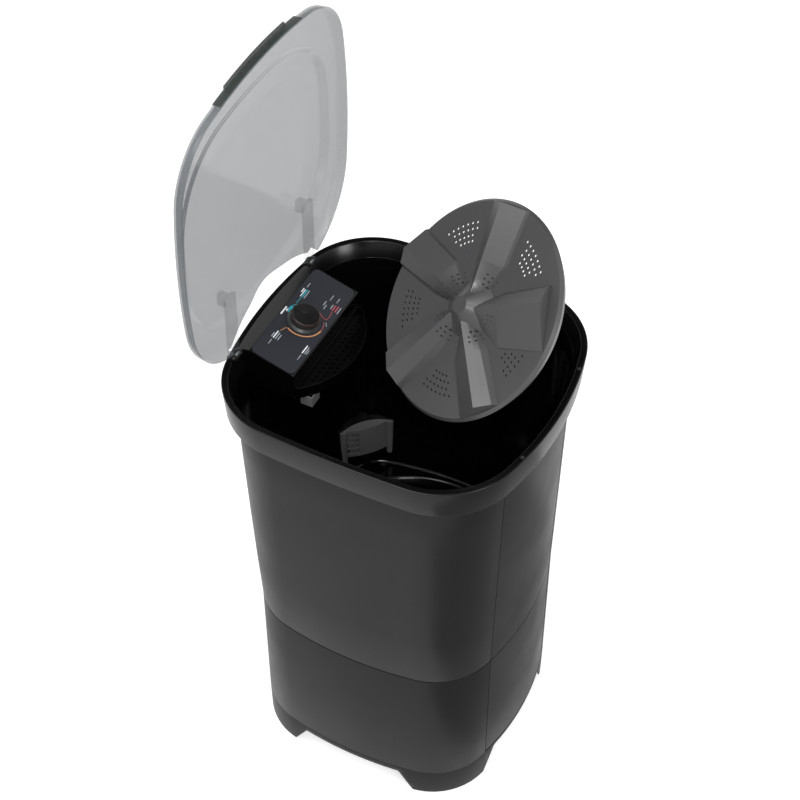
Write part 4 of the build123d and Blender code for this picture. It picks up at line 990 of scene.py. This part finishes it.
@dataclass
class Basin:
    """Glossy collar with the flared mouth, and the wash tub that hangs below it."""

    rim: Outline = Outline.mm(275, 295.5, 3.3, 2200, 620, 810, 156, 150)
    ledge: Outline = Outline.mm(232, 238, 0, 640, 460, 460, 95, 95)
    rim_z: float = 955 * MM
    collar_low: float = 894 * MM
    body_top: float = 897 * MM
    mouth_z: float = 925 * MM
    ledge_z: float = 395 * MM
    floor_z: float = 362 * MM
    recess: float = 204 * MM
    chamfer: float = 12 * MM
    wall: float = 3 * MM
    neck: float = 26 * MM

    def around(self, inset: float, z: float) -> Ring:
        """Ring of the rim outline at an inset in millimetres and a height."""
        return ring_at(self.rim.inset(inset * MM), z)

    def collar(self) -> bpy.types.Object:
        """Make the collar: outer skin, flat rim band and inner skirt."""
        corners = (
            (5.0, self.collar_low, 1.2),
            (0.0, self.rim_z, 2.0),
            (12.0, self.rim_z, 1.3),
            (24.5, self.mouth_z, 0.6),
            (21.5, self.mouth_z, 0.6),
            (10.3, self.rim_z - self.wall, 0.0),
            (3.0, self.rim_z - self.wall, 0.0),
            (8.0, self.body_top, 0.0),
            (22.6, self.body_top, 0.4),
            (22.6, self.collar_low, 0.4),
        )
        rings = [self.around(inset, z) for inset, z, _ in corners]
        return loft("collar_moulding", eased(rings, [radius * MM for _, _, radius in corners], True, 4))

    def tub(self) -> bpy.types.Object:
        """Make the tub: flared neck, tapered walls, ledge, round recess and floor."""
        chamfer_z = self.ledge_z - self.chamfer
        under = self.floor_z - self.wall
        outside = self.ledge.inset(-self.wall)
        rings = [
            (self.around(21.5, self.mouth_z), 0.5),
            (self.around(24.5, self.mouth_z), 0.5),
            (self.around(30.0, self.body_top), 4.0),
            (ring_at(self.ledge, self.ledge_z), 9.0),
            (circle_like(self.ledge, self.recess + self.chamfer, self.ledge_z), 2.5),
            (circle_like(self.ledge, self.recess, chamfer_z), 3.0),
            (circle_like(self.ledge, self.recess, self.floor_z), 6.0),
            (circle_like(self.ledge, self.neck, self.floor_z), 0.8),
            (circle_like(self.ledge, self.neck, under), 0.8),
            (circle_like(self.ledge, self.recess + self.wall, under), 3.0),
            (circle_like(self.ledge, self.recess + self.wall, chamfer_z - self.wall), 2.0),
            (circle_like(self.ledge, self.recess + self.chamfer + self.wall, self.ledge_z - self.wall), 2.0),
            (ring_at(outside, self.ledge_z - self.wall), 9.0),
            (self.around(27.0, self.body_top - 1 * MM), 0.0),
            (self.around(23.5, self.body_top), 0.5),
            (self.around(23.5, self.body_top + self.wall), 0.5),
            (self.around(26.4, self.body_top + self.wall), 0.0),
        ]
        shape = eased([ring for ring, _ in rings], [radius * MM for _, radius in rings], True, 4)
        return loft("wash_tub_moulding", shape)

    def build(self, frame: dict, finishes: Finishes) -> None:
        """Make, dress and place the collar and the tub."""
        collar = smooth(finishes.dress(self.collar(), "polished_charcoal_abs"), 30)
        settle(collar, Body.CABINET, Slot.TUB, "top_frame")
        tub = self.tub()
        port = prism("drain_port", circle_plan(8.5 * MM, 32), upright(185 * MM, 190 * MM), 0.3, 0.5)
        nipple = lathe(
            "drain_nipple",
            rounded([(8.5 * MM, 0.37), (10.8 * MM, 0.37), (10.8 * MM, 0.393), (8.5 * MM, 0.393)], 0.4 * MM),
            upright(185 * MM, 190 * MM),
            48,
        )
        tub = joined("wash_tub_shell", [cut(tub, port), nipple])
        smooth(finishes.dress(tub, "polished_black_polypropylene"), 30)
        settle(tub, Body.CABINET, Slot.TUB, "wash_tub")


@dataclass
class Lid:
    """Smoked lid with its grip and arms, made closed and turned open about its hinge."""

    skirt: Outline = Outline.mm(275, 278.7, -10.7, 1115, 818, 818, 133, 160)
    crease: Outline = Outline.mm(243, 223.5, -0.5, 900, 650, 650, 165, 165)
    low: float = 956.5 * MM
    wall: float = 2.6 * MM
    notch_radius: float = 253 * MM
    notch_y: float = 467 * MM
    hinge_y: float = 271 * MM
    hinge_z: float = 962 * MM
    arm_inner: float = 122.0 * MM
    arm_outer: float = 150.0 * MM
    arm_front: float = 130 * MM
    slot_height: float = 14.3 * MM

    def rings(self, depth: float) -> list[Ring]:
        """Rings of a face of the lid from its edge to its flat crown.

        Args:
            depth: How far the face lies inside the outer face.

        Returns:
            The rings.
        """
        rows = (
            (self.skirt, 0.0, 0.0),
            (self.skirt.inset(2 * MM), 17 * MM, 3.5),
            (self.crease, 22 * MM, 5.0),
            (self.crease.inset(12 * MM), 34 * MM, 6.0),
            (self.crease.inset(60 * MM), 38 * MM, 12.0),
            (self.crease.inset(78 * MM), 38 * MM, 0.0),
            (self.crease.inset(84 * MM), 38 * MM, 0.0),
        )
        rings = [
            ring_at(outline.inset(depth), self.low + max(height - depth, 0.0), None)
            for outline, height, _ in rows
        ]
        return eased(rings, [radius * MM for _, _, radius in rows], False, 5)

    def opening(self) -> Matrix:
        """Turn from closed to open about the hinge."""
        return (
            Matrix.Translation((0, self.hinge_y, self.hinge_z))
            @ Matrix.Rotation(-math.pi / 2, 4, "X")
            @ Matrix.Translation((0, -self.hinge_y, -self.hinge_z))
        )

    def shell(self) -> bpy.types.Object:
        """Make the shell with its arched rear notch and the slots for the arms."""
        shell = loft("smoked_shell", self.rings(self.wall)[::-1] + self.rings(0.0), through=False, crown=True)
        arch = prism("notch", circle_plan(self.notch_radius, 256), upright(0, self.notch_y), 0.9, 1.1)
        middle = (self.arm_inner + self.arm_outer) / 2
        width = self.arm_outer - self.arm_inner
        top = self.low + self.slot_height
        back = self.arm_front + 0.2
        slots = [
            prism("arm_slot", rectangle_plan(width, 0.4, 2 * MM, side * middle, back), Matrix(), 0.9, top)
            for side in (-1, 1)
        ]
        cut(shell, arch, *slots)
        bevelled(outward(shell), 0.5 * MM, 2, 60)
        shell.data.transform(self.opening())
        return smooth(shell, 30)

    def build(self, frame: dict, finishes: Finishes) -> None:
        """Make, dress and place the lid pieces."""
        settle(finishes.dress(self.shell(), "smoked_styrene"), Body.LID, Slot.LID, "lid_shell")
        grip = finishes.dress(refined(frame, "lid_grip", 0.7 * MM), "tinted_styrene_grip")
        settle(grip, Body.LID, Slot.GRIP, "lid_grip")
        arms = finishes.dress(refined(frame, "lid_arms", 0.8 * MM), "smoked_styrene_arm")
        settle(arms, Body.LID, Slot.GRIP, "lid_arms")


@dataclass
class Repeater:
    """Geometry Nodes tree that sets a shape down on every point of a mesh.

    Each point carries its own turn and size as attributes. The shape, a common
    scale and the finish are named inputs of the tree.
    """

    tree: bpy.types.NodeTree | None = None

    def build(self) -> bpy.types.NodeTree:
        """Make the tree.

        Returns:
            The tree.
        """
        tree = bpy.data.node_groups.new("repeat_on_points", "GeometryNodeTree")
        for name, kind in (
            ("Points", "NodeSocketGeometry"),
            ("Shape", "NodeSocketObject"),
            ("Scale", "NodeSocketFloat"),
            ("Finish", "NodeSocketMaterial"),
        ):
            tree.interface.new_socket(name, in_out="INPUT", socket_type=kind)
        tree.interface.new_socket("Copies", in_out="OUTPUT", socket_type="NodeSocketGeometry")
        given = add_node(tree, "NodeGroupInput")
        turn, size = (
            add_node(
                tree,
                "GeometryNodeInputNamedAttribute",
                {"data_type": "FLOAT_VECTOR"},
                {"Name": name},
            )
            for name in ("turn", "size")
        )
        angle = add_node(tree, "FunctionNodeEulerToRotation", links={"Euler": turn.outputs["Attribute"]})
        scaled = add_node(
            tree,
            "ShaderNodeVectorMath",
            {"operation": "SCALE"},
            links={"Vector": size.outputs["Attribute"], "Scale": given.outputs["Scale"]},
        )
        shape = add_node(tree, "GeometryNodeObjectInfo", links={"Object": given.outputs["Shape"]})
        copies = add_node(
            tree,
            "GeometryNodeInstanceOnPoints",
            links={
                "Points": given.outputs["Points"],
                "Instance": shape.outputs["Geometry"],
                "Rotation": angle.outputs["Rotation"],
                "Scale": scaled.outputs["Vector"],
            },
        )
        real = add_node(tree, "GeometryNodeRealizeInstances", links={"Geometry": copies.outputs["Instances"]})
        dressed = add_node(
            tree,
            "GeometryNodeSetMaterial",
            links={"Geometry": real.outputs["Geometry"], "Material": given.outputs["Finish"]},
        )
        add_node(tree, "NodeGroupOutput", links={"Copies": dressed.outputs["Geometry"]})
        return tree

    def repeat(
        self,
        name: str,
        shape: bpy.types.Object,
        finish: bpy.types.Material,
        places: Sequence[Vector],
        turns: Sequence[Sequence[float]],
        sizes: Sequence[Sequence[float]],
        scale: float = 1.0,
    ) -> bpy.types.Object:
        """Set copies of a shape down and turn them into a plain mesh.

        Args:
            name: Name of the result.
            shape: Shape that is repeated; it is deleted afterwards.
            finish: Material of the copies.
            places: Where the copies stand.
            turns: Euler turn of each copy.
            sizes: Size of each copy along its own axes.
            scale: Common scale.

        Returns:
            The copies as one object.
        """
        self.tree = self.tree or self.build()
        host = new_object(name, places, [])
        for label, values in (("turn", turns), ("size", sizes)):
            attribute = host.data.attributes.new(label, "FLOAT_VECTOR", "POINT")
            flat = np.array([tuple(value) for value in values], dtype=float).ravel()
            attribute.data.foreach_set("vector", flat)
        modifier = host.modifiers.new("repeats", "NODES")
        modifier.node_group = self.tree
        wanted = {"Shape": shape, "Scale": scale, "Finish": finish}
        for item in self.tree.interface.items_tree:
            if item.in_out == "INPUT" and item.name in wanted:
                modifier[item.identifier] = wanted[item.name]
        host.data.update()
        applied(host)
        bpy.data.objects.remove(shape)
        return host


@dataclass(frozen=True)
class Mark:
    """One printed bar of the label, in millimetres from the label's middle."""

    ink: str
    first: Point2
    last: Point2
    thick: float


@dataclass
class Controls:
    """Label print and the knob on the sloping control face."""

    knob_y: float = 211.5 * MM
    front_y: float = 168 * MM
    front_z: float = 944 * MM
    slope: float = math.radians(15.6)
    proud: float = 0.2 * MM
    ink: float = 0.08 * MM
    skirt_radius: float = 31.0
    cap_radius: float = 26.0
    height: float = 19.0
    bore: float = 3.02
    bore_depth: float = 13.0

    marks: tuple[Mark, ...] = (
        Mark("ink_white", (-14, 41), (7, 41), 3.0),
        Mark("ink_teal", (25, 31), (38.7, 30.5), 0.9),
        Mark("ink_teal", (38.7, 30.5), (42.5, 29.5), 0.9),
        Mark("ink_white", (53, 36.5), (64, 36.5), 1.9),
        Mark("ink_white", (43, 33), (63, 33), 1.7),
        Mark("ink_teal", (44, 29.5), (64.5, 29.5), 2.0),
        Mark("ink_grey", (43, 25.5), (65, 25.5), 1.7),
        Mark("ink_grey", (69, 33.5), (81, 33.5), 1.6),
        Mark("ink_red", (33, -14), (27, -23.5), 0.9),
        Mark("ink_red", (27, -23.5), (26.3, -31.7), 0.9),
        Mark("ink_red", (26.3, -31.7), (35, -33), 0.9),
        Mark("ink_red", (35, -33), (49, -31), 0.9),
        Mark("ink_grey", (53, -25), (64.5, -25), 1.7),
        Mark("ink_red", (51, -29.6), (66, -29.6), 2.0),
        Mark("ink_red", (51.5, -35), (67.7, -35), 2.0),
        Mark("ink_grey", (50.4, -40), (67, -40), 1.7),
        Mark("ink_grey", (75.5, -27.7), (84.4, -27.7), 1.4),
        Mark("ink_grey", (45, -15), (56.6, -15), 1.7),
        Mark("ink_grey", (52, -10.5), (64, -10.5), 1.7),
        Mark("ink_grey", (73.3, -15), (84.2, -15), 1.4),
        Mark("ink_grey", (20.7, -34), (13, -39.5), 1.2),
        Mark("ink_orange", (-47, 22.6), (-34, 17.5), 1.0),
        Mark("ink_grey", (-68.4, 29), (-57, 29), 1.7),
        Mark("ink_white", (-69, 25), (-50, 25), 2.2),
        Mark("ink_grey", (-69.7, 20.6), (-52, 20.6), 1.7),
        Mark("ink_grey", (-69, 16), (-54.5, 16), 1.7),
        Mark("ink_grey", (-82.4, 25.3), (-73, 25.3), 1.4),
        Mark("ink_white", (-66, -33.5), (-45.5, -33.5), 2.2),
        Mark("ink_grey", (-64.8, -37.8), (-47, -37.8), 1.7),
        Mark("ink_grey", (-64, -41), (-53, -41), 1.5),
        Mark("ink_grey", (-80.5, -34), (-70, -34), 1.4),
    )
    dots: tuple[Point2, ...] = ((73.5, -27.7), (71.3, -15), (-84.4, 25.3), (-82.5, -34))
    dot_radius: float = 1.1
    print_drop: float = 0.5
    arc_radius: float = 36.5
    arcs: tuple[tuple[str, float, float, float], ...] = (
        ("ink_orange", 2.4, 156, 267),
        ("ink_red", 1.0, 267, 300),
        ("ink_teal", 1.0, 50, 82),
    )
    arrow: tuple[Point2, ...] = ((-3, 34.4), (6, 35.4), (0.4, 38.6))
    block: tuple[float, ...] = (15.6, 5.5, 1.2, 5.8, 31.2)

    def face(self) -> Matrix:
        """Frame of the control face: X to the right, Y up the slope, Z out of it, at the knob."""
        rise = (self.knob_y - self.front_y) * math.tan(self.slope)
        return Matrix.Translation((0, self.knob_y, self.front_z + rise)) @ Matrix.Rotation(self.slope, 4, "X")

    def arc(
        self, ink: str, finishes: Finishes, radius: float, thick: float, start: float, end: float
    ) -> bpy.types.Object:
        """Print a round stroke about the knob, between two angles in degrees."""
        turns = np.radians(np.linspace(start, end, 40))
        outer, inner = (
            [(reach * math.cos(turn) * MM, reach * math.sin(turn) * MM) for turn in turns]
            for reach in (radius + thick / 2, radius - thick / 2)
        )
        low, high = self.proud - self.ink / 2, self.proud + self.ink
        return finishes.dress(prism("arc_print", outer + inner[::-1], self.face(), low, high), ink)

    def print_label(self, finishes: Finishes, repeater: Repeater) -> list[bpy.types.Object]:
        """Print bars, dots, strokes and the arrow on the label.

        Args:
            finishes: Finishes of the machine.
            repeater: Tree that repeats the bars.

        Returns:
            The printed pieces.
        """
        face = self.face()
        low, high = self.proud - self.ink / 2, self.proud + self.ink
        middle_height = self.proud + self.ink / 4
        thick = self.ink * 1.5 / MM
        pieces = []
        for ink in sorted({mark.ink for mark in self.marks}):
            places, turns, sizes = [], [], []
            for mark in self.marks:
                if mark.ink != ink:
                    continue
                step = Vector(mark.last) - Vector(mark.first)
                middle = (Vector(mark.last) + Vector(mark.first)) / 2
                spot = (middle.x * MM, (middle.y - self.print_drop) * MM, middle_height)
                places.append(face @ Vector(spot))
                turned = Matrix.Rotation(math.atan2(step.y, step.x), 3, "Z")
                turns.append((face.to_3x3() @ turned).to_euler())
                sizes.append((step.length, mark.thick, thick))
            bar = prism("bar", rectangle_plan(1.0, 1.0, 0.12), Matrix(), -0.5, 0.5)
            finish = finishes.table[ink]
            pieces.append(repeater.repeat(f"{ink}_bars", bar, finish, places, turns, sizes, MM))
        dot = prism("dot", circle_plan(1.0, 24), Matrix(), -0.5, 0.5)
        spots = [
            face @ Vector((u * MM, (v - self.print_drop) * MM, middle_height)) for u, v in self.dots
        ]
        turns = [face.to_euler()] * len(spots)
        sizes = [(self.dot_radius, self.dot_radius, thick)] * len(spots)
        finish = finishes.table["ink_grey"]
        pieces.append(repeater.repeat("dot_prints", dot, finish, spots, turns, sizes, MM))
        for ink, width, start, end in self.arcs:
            pieces.append(self.arc(ink, finishes, self.arc_radius, width, start, end))
        arrow = [(x * MM, y * MM) for x, y in self.arrow]
        block = rectangle_plan(*(size * MM for size in self.block))
        for name, plan, ink in (
            ("arrow_print", arrow, "ink_white"),
            ("block_print", block, "ink_teal"),
        ):
            pieces.append(finishes.dress(prism(name, plan, face, low, high), ink))
        return pieces

    def knob(self, finishes: Finishes) -> bpy.types.Object:
        """Turn the knob with its flared skirt, copper ring and pointer rib."""
        face = self.face()
        base = 0.5
        outline = [
            (0.01, self.bore_depth), (self.bore, self.bore_depth), (self.bore, base), (self.skirt_radius, base),
            (self.skirt_radius, base + 0.9), (self.cap_radius + 0.4, 5.0), (self.cap_radius, 6.5),
            (self.cap_radius, self.height - 2.0),
        ]
        cap = [
            (0.01, self.height - 3.0), (self.cap_radius, self.height - 2.0), (self.cap_radius - 0.3, self.height - 0.7),
            (self.cap_radius - 1.6, self.height), (self.cap_radius - 4.0, self.height - 0.5), (0.01, self.height - 0.5),
        ]
        ring = [
            (self.cap_radius - 1.2, self.height - 2.1), (self.cap_radius + 0.15, self.height - 2.1),
            (self.cap_radius + 0.15, self.height - 1.3), (self.cap_radius - 1.2, self.height - 1.3),
        ]
        pieces = []
        for name, profile, finish in (
            ("knob_side", outline + [(0.01, self.height - 2.0)], "knob_grey_abs"),
            ("knob_cap", cap, "knob_black_abs"),
            ("knob_ring", ring, "copper_ring"),
        ):
            turned = lathe(name, [(r * MM, h * MM) for r, h in rounded(profile, 0.25)], face, 128)
            pieces.append(finishes.dress(turned, finish))
        plan = rectangle_plan(4.4 * MM, 22 * MM, 1.8 * MM, 0, 12.5 * MM)
        rib = prism("pointer", plan, face, (self.height - 1) * MM, (self.height + 0.9) * MM)
        pieces.append(finishes.dress(bevelled(rib, 0.5 * MM, 2), "knob_black_abs"))
        return smooth(joined("control_knob_turned", pieces), 35)

    def build(self, frame: dict, finishes: Finishes) -> None:
        """Make, dress and place the print and the knob."""
        sheet = finishes.dress(refined(frame, "control_label", 0.25 * MM), "slate_polycarbonate_film")
        label = joined("control_label_printed", [sheet, *self.print_label(finishes, Repeater())])
        settle(label, Body.CABINET, Slot.LABEL, "control_label")
        settle(self.knob(finishes), Body.KNOB, Slot.KNOB, "control_knob")


@dataclass
class CarriedNodes:
    """CAD nodes whose shape stands: each gets its finish, and its edges a small rounding."""

    refined_nodes: tuple[tuple[str, str, Slot, Body, float, float], ...] = (
        ("control_housing", "polished_black_polypropylene", Slot.TUB, Body.CABINET, 0.8, 35.0),
        ("soap_tray", "gloss_black_abs", Slot.TRAY, Body.CABINET, 0.6, 35.0),
        ("rinse_spout", "matt_grey_polypropylene", Slot.SPOUT, Body.CABINET, 0.6, 35.0),
        ("hinge_brackets", "satin_black_abs", Slot.GRIP, Body.CABINET, 0.6, 35.0),
        ("drain_filter", "dark_polypropylene", Slot.FILTER, Body.FILTER, 0.7, 35.0),
        ("filter_rails", "dark_polypropylene", Slot.FILTER, Body.CABINET, 0.6, 35.0),
        ("pulsator", "grey_polypropylene", Slot.PULSATOR, Body.PULSATOR, 0.9, 14.0),
    )
    plain_nodes: dict[str, tuple[str, ...]] = field(
        default_factory=lambda: {
            "nitrile_rubber": ("foot_pads", "lid_buffers", "shaft_seal", "drive_belt", "cable_gland", "drain_hose"),
            "zinc_plated_steel": (
                "panel_screws", "timer_shaft", "hinge_pins", "housing_bolts", "upper_bearing", "lower_bearing",
                "drive_shaft", "pulley_nut", "motor_shaft", "motor_plate", "motor_posts", "motor_bolts",
                "capacitor_clip", "latch_ball",
            ),
            "die_cast_aluminium": ("bearing_housing", "driven_pulley", "motor_pulley"),
            "natural_nylon": ("timer_body", "drive_socket", "hub_washer", "capacitor", "motor_fan"),
            "black_baked_enamel": ("motor_body",),
            "dark_polypropylene": ("drain_outlet",),
            "gloss_black_abs": ("soap_strainer",),
        }
    )

    def build(self, frame: dict, finishes: Finishes) -> None:
        """Dress the nodes."""
        for node, finish, slot, body, width, angle in self.refined_nodes:
            settle(finishes.dress(refined(frame, node, width * MM, angle), finish), body, slot, node)
        for finish, names in self.plain_nodes.items():
            for name in names:
                node = frame["nodes"][name]
                for place in node.material_slots:
                    place.material = finishes.table[finish]
                LOG.info("%s finished in %s", name, finish)


@dataclass
class Studio:
    """Pale floor, soft lamps and the camera."""

    eye: tuple[float, float, float] = (-2.2752, -1.1635, 3.5704)
    target: tuple[float, float, float] = (0.2401, 0.1425, 0.555)
    lens: float = 93.64
    sensor: float = 36.0
    floor_size: float = 30.0
    ambient: float = 0.62
    card_place: tuple[float, float, float] = (1.82, 0.93, 3.04)
    card_size: float = 2.2
    floor_card: tuple[float, float, float, float] = (-0.8, 0.6, -2.2, -0.3)
    floor_card_z: float = 4 * MM

    def world(self) -> None:
        """Light the scene softly, with white behind it."""
        world = bpy.data.worlds.new("studio_world")
        bpy.context.scene.world = world
        world.use_nodes = True
        tree = world.node_tree
        tree.nodes.clear()
        path = add_node(tree, "ShaderNodeLightPath")
        seen = add_node(tree, "ShaderNodeMath", {"operation": "MAXIMUM"})
        tree.links.new(path.outputs["Is Camera Ray"], seen.inputs[0])
        tree.links.new(path.outputs["Is Glossy Ray"], seen.inputs[1])
        through = add_node(tree, "ShaderNodeMath", {"operation": "MAXIMUM"})
        tree.links.new(seen.outputs["Value"], through.inputs[0])
        tree.links.new(path.outputs["Is Transmission Ray"], through.inputs[1])
        soft, white = (
            add_node(
                tree,
                "ShaderNodeBackground",
                values={"Color": linear("ffffff"), "Strength": strength},
            )
            for strength in (self.ambient, 1.0)
        )
        mix = add_node(tree, "ShaderNodeMixShader", links={"Fac": through.outputs["Value"]})
        tree.links.new(soft.outputs["Background"], mix.inputs[1])
        tree.links.new(white.outputs["Background"], mix.inputs[2])
        add_node(tree, "ShaderNodeOutputWorld", links={"Surface": mix.outputs["Shader"]})

    def floor(self) -> None:
        """Lay the pale floor, which keeps the object's shadow."""
        material, tree = blank_material("pale_studio_floor")
        path = add_node(tree, "ShaderNodeLightPath")
        matt = add_node(tree, "ShaderNodeBsdfDiffuse", values={"Color": linear("f4f4f4")})
        glow = add_node(tree, "ShaderNodeEmission", values={"Color": linear("ffffff"), "Strength": 0.45})
        both = add_node(tree, "ShaderNodeAddShader")
        tree.links.new(matt.outputs["BSDF"], both.inputs[0])
        tree.links.new(glow.outputs["Emission"], both.inputs[1])
        mix = add_node(tree, "ShaderNodeMixShader", links={"Fac": path.outputs["Is Camera Ray"]})
        tree.links.new(matt.outputs["BSDF"], mix.inputs[1])
        tree.links.new(both.outputs["Shader"], mix.inputs[2])
        add_node(tree, "ShaderNodeOutputMaterial", links={"Surface": mix.outputs["Shader"]})
        half = self.floor_size / 2
        corners = [(-half, -half, 0), (half, -half, 0), (half, half, 0), (-half, half, 0)]
        floor = new_object("studio_floor", corners, [(0, 1, 2, 3)])
        floor.data.materials.append(material)

    def lamp(
        self, name: str, place: Sequence[float], aim: Sequence[float], size: float, power: float
    ) -> None:
        """Hang a square soft lamp."""
        light = bpy.data.lights.new(name, "AREA")
        light.size = size
        light.energy = power
        lamp = bpy.data.objects.new(name, light)
        lamp.location = place
        lamp.rotation_euler = (Vector(aim) - Vector(place)).to_track_quat("-Z", "Y").to_euler()
        bpy.context.scene.collection.objects.link(lamp)

    def card(self, name: str, grey: str, corners: Sequence[Sequence[float]]) -> None:
        """Hang a flat card that only reflections see.

        Args:
            name: Name of the card.
            grey: Its tone, as sRGB hex.
            corners: Its four corners.
        """
        material, tree = blank_material(name)
        tone = add_node(tree, "ShaderNodeEmission", values={"Color": linear(grey), "Strength": 1.0})
        add_node(tree, "ShaderNodeOutputMaterial", links={"Surface": tone.outputs["Emission"]})
        card = new_object(name, corners, [(0, 1, 2, 3)])
        card.data.materials.append(material)
        card.visible_diffuse = False
        card.visible_shadow = False
        card.visible_camera = False
        card.visible_transmission = False

    def cards(self) -> None:
        """Hang the overhead card for the level faces and lay the one before the front corner."""
        middle = Vector(self.card_place)
        axes = (Vector((0, 0, 0.95)) - middle).to_track_quat("Z", "Y").to_matrix().to_4x4()
        axes.translation = middle
        half = self.card_size / 2
        overhead = [axes @ Vector((x * half, y * half, 0)) for x, y in ((-1, -1), (1, -1), (1, 1), (-1, 1))]
        self.card("overhead_card", "101010", overhead)
        x0, x1, y0, y1 = self.floor_card
        z = self.floor_card_z
        self.card("floor_card", "b0b0b0", [(x0, y0, z), (x1, y0, z), (x1, y1, z), (x0, y1, z)])

    def camera(self) -> None:
        """Set the camera at the photograph's angle."""
        lens = bpy.data.cameras.new("studio_camera")
        lens.lens = self.lens
        lens.sensor_width = self.sensor
        lens.clip_end = 100.0
        camera = bpy.data.objects.new("studio_camera", lens)
        camera.location = self.eye
        camera.rotation_euler = (Vector(self.target) - Vector(self.eye)).to_track_quat("-Z", "Y").to_euler()
        bpy.context.scene.collection.objects.link(camera)
        bpy.context.scene.camera = camera

    def build(self) -> None:
        """Make the studio."""
        self.world()
        self.floor()
        self.cards()
        self.lamp("key_lamp", (-1.6, -3.6, 1.2), (0.1, 0, 0.95), 1.2, 60)
        self.lamp("fill_lamp", (-3.0, -1.6, 4.6), (0, 0, 0.6), 1.0, 90)
        self.lamp("top_lamp", (-1.0, 0.6, 4.0), (0, 0, 0.8), 1.8, 50)
        self.camera()
        bpy.context.scene.view_settings.view_transform = "Standard"


def main() -> None:
    """Build the machine in order and report each piece."""
    logging.basicConfig(level=logging.INFO, format="%(name)s: %(message)s")
    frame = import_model()
    finishes = Finishes()
    finishes.make()
    Studio().build()
    for assembly in (Casing(), Basin(), Lid(), Controls(), CarriedNodes()):
        LOG.info("building %s", type(assembly).__name__)
        assembly.build(frame, finishes)


if __name__ == "__main__":
    main()
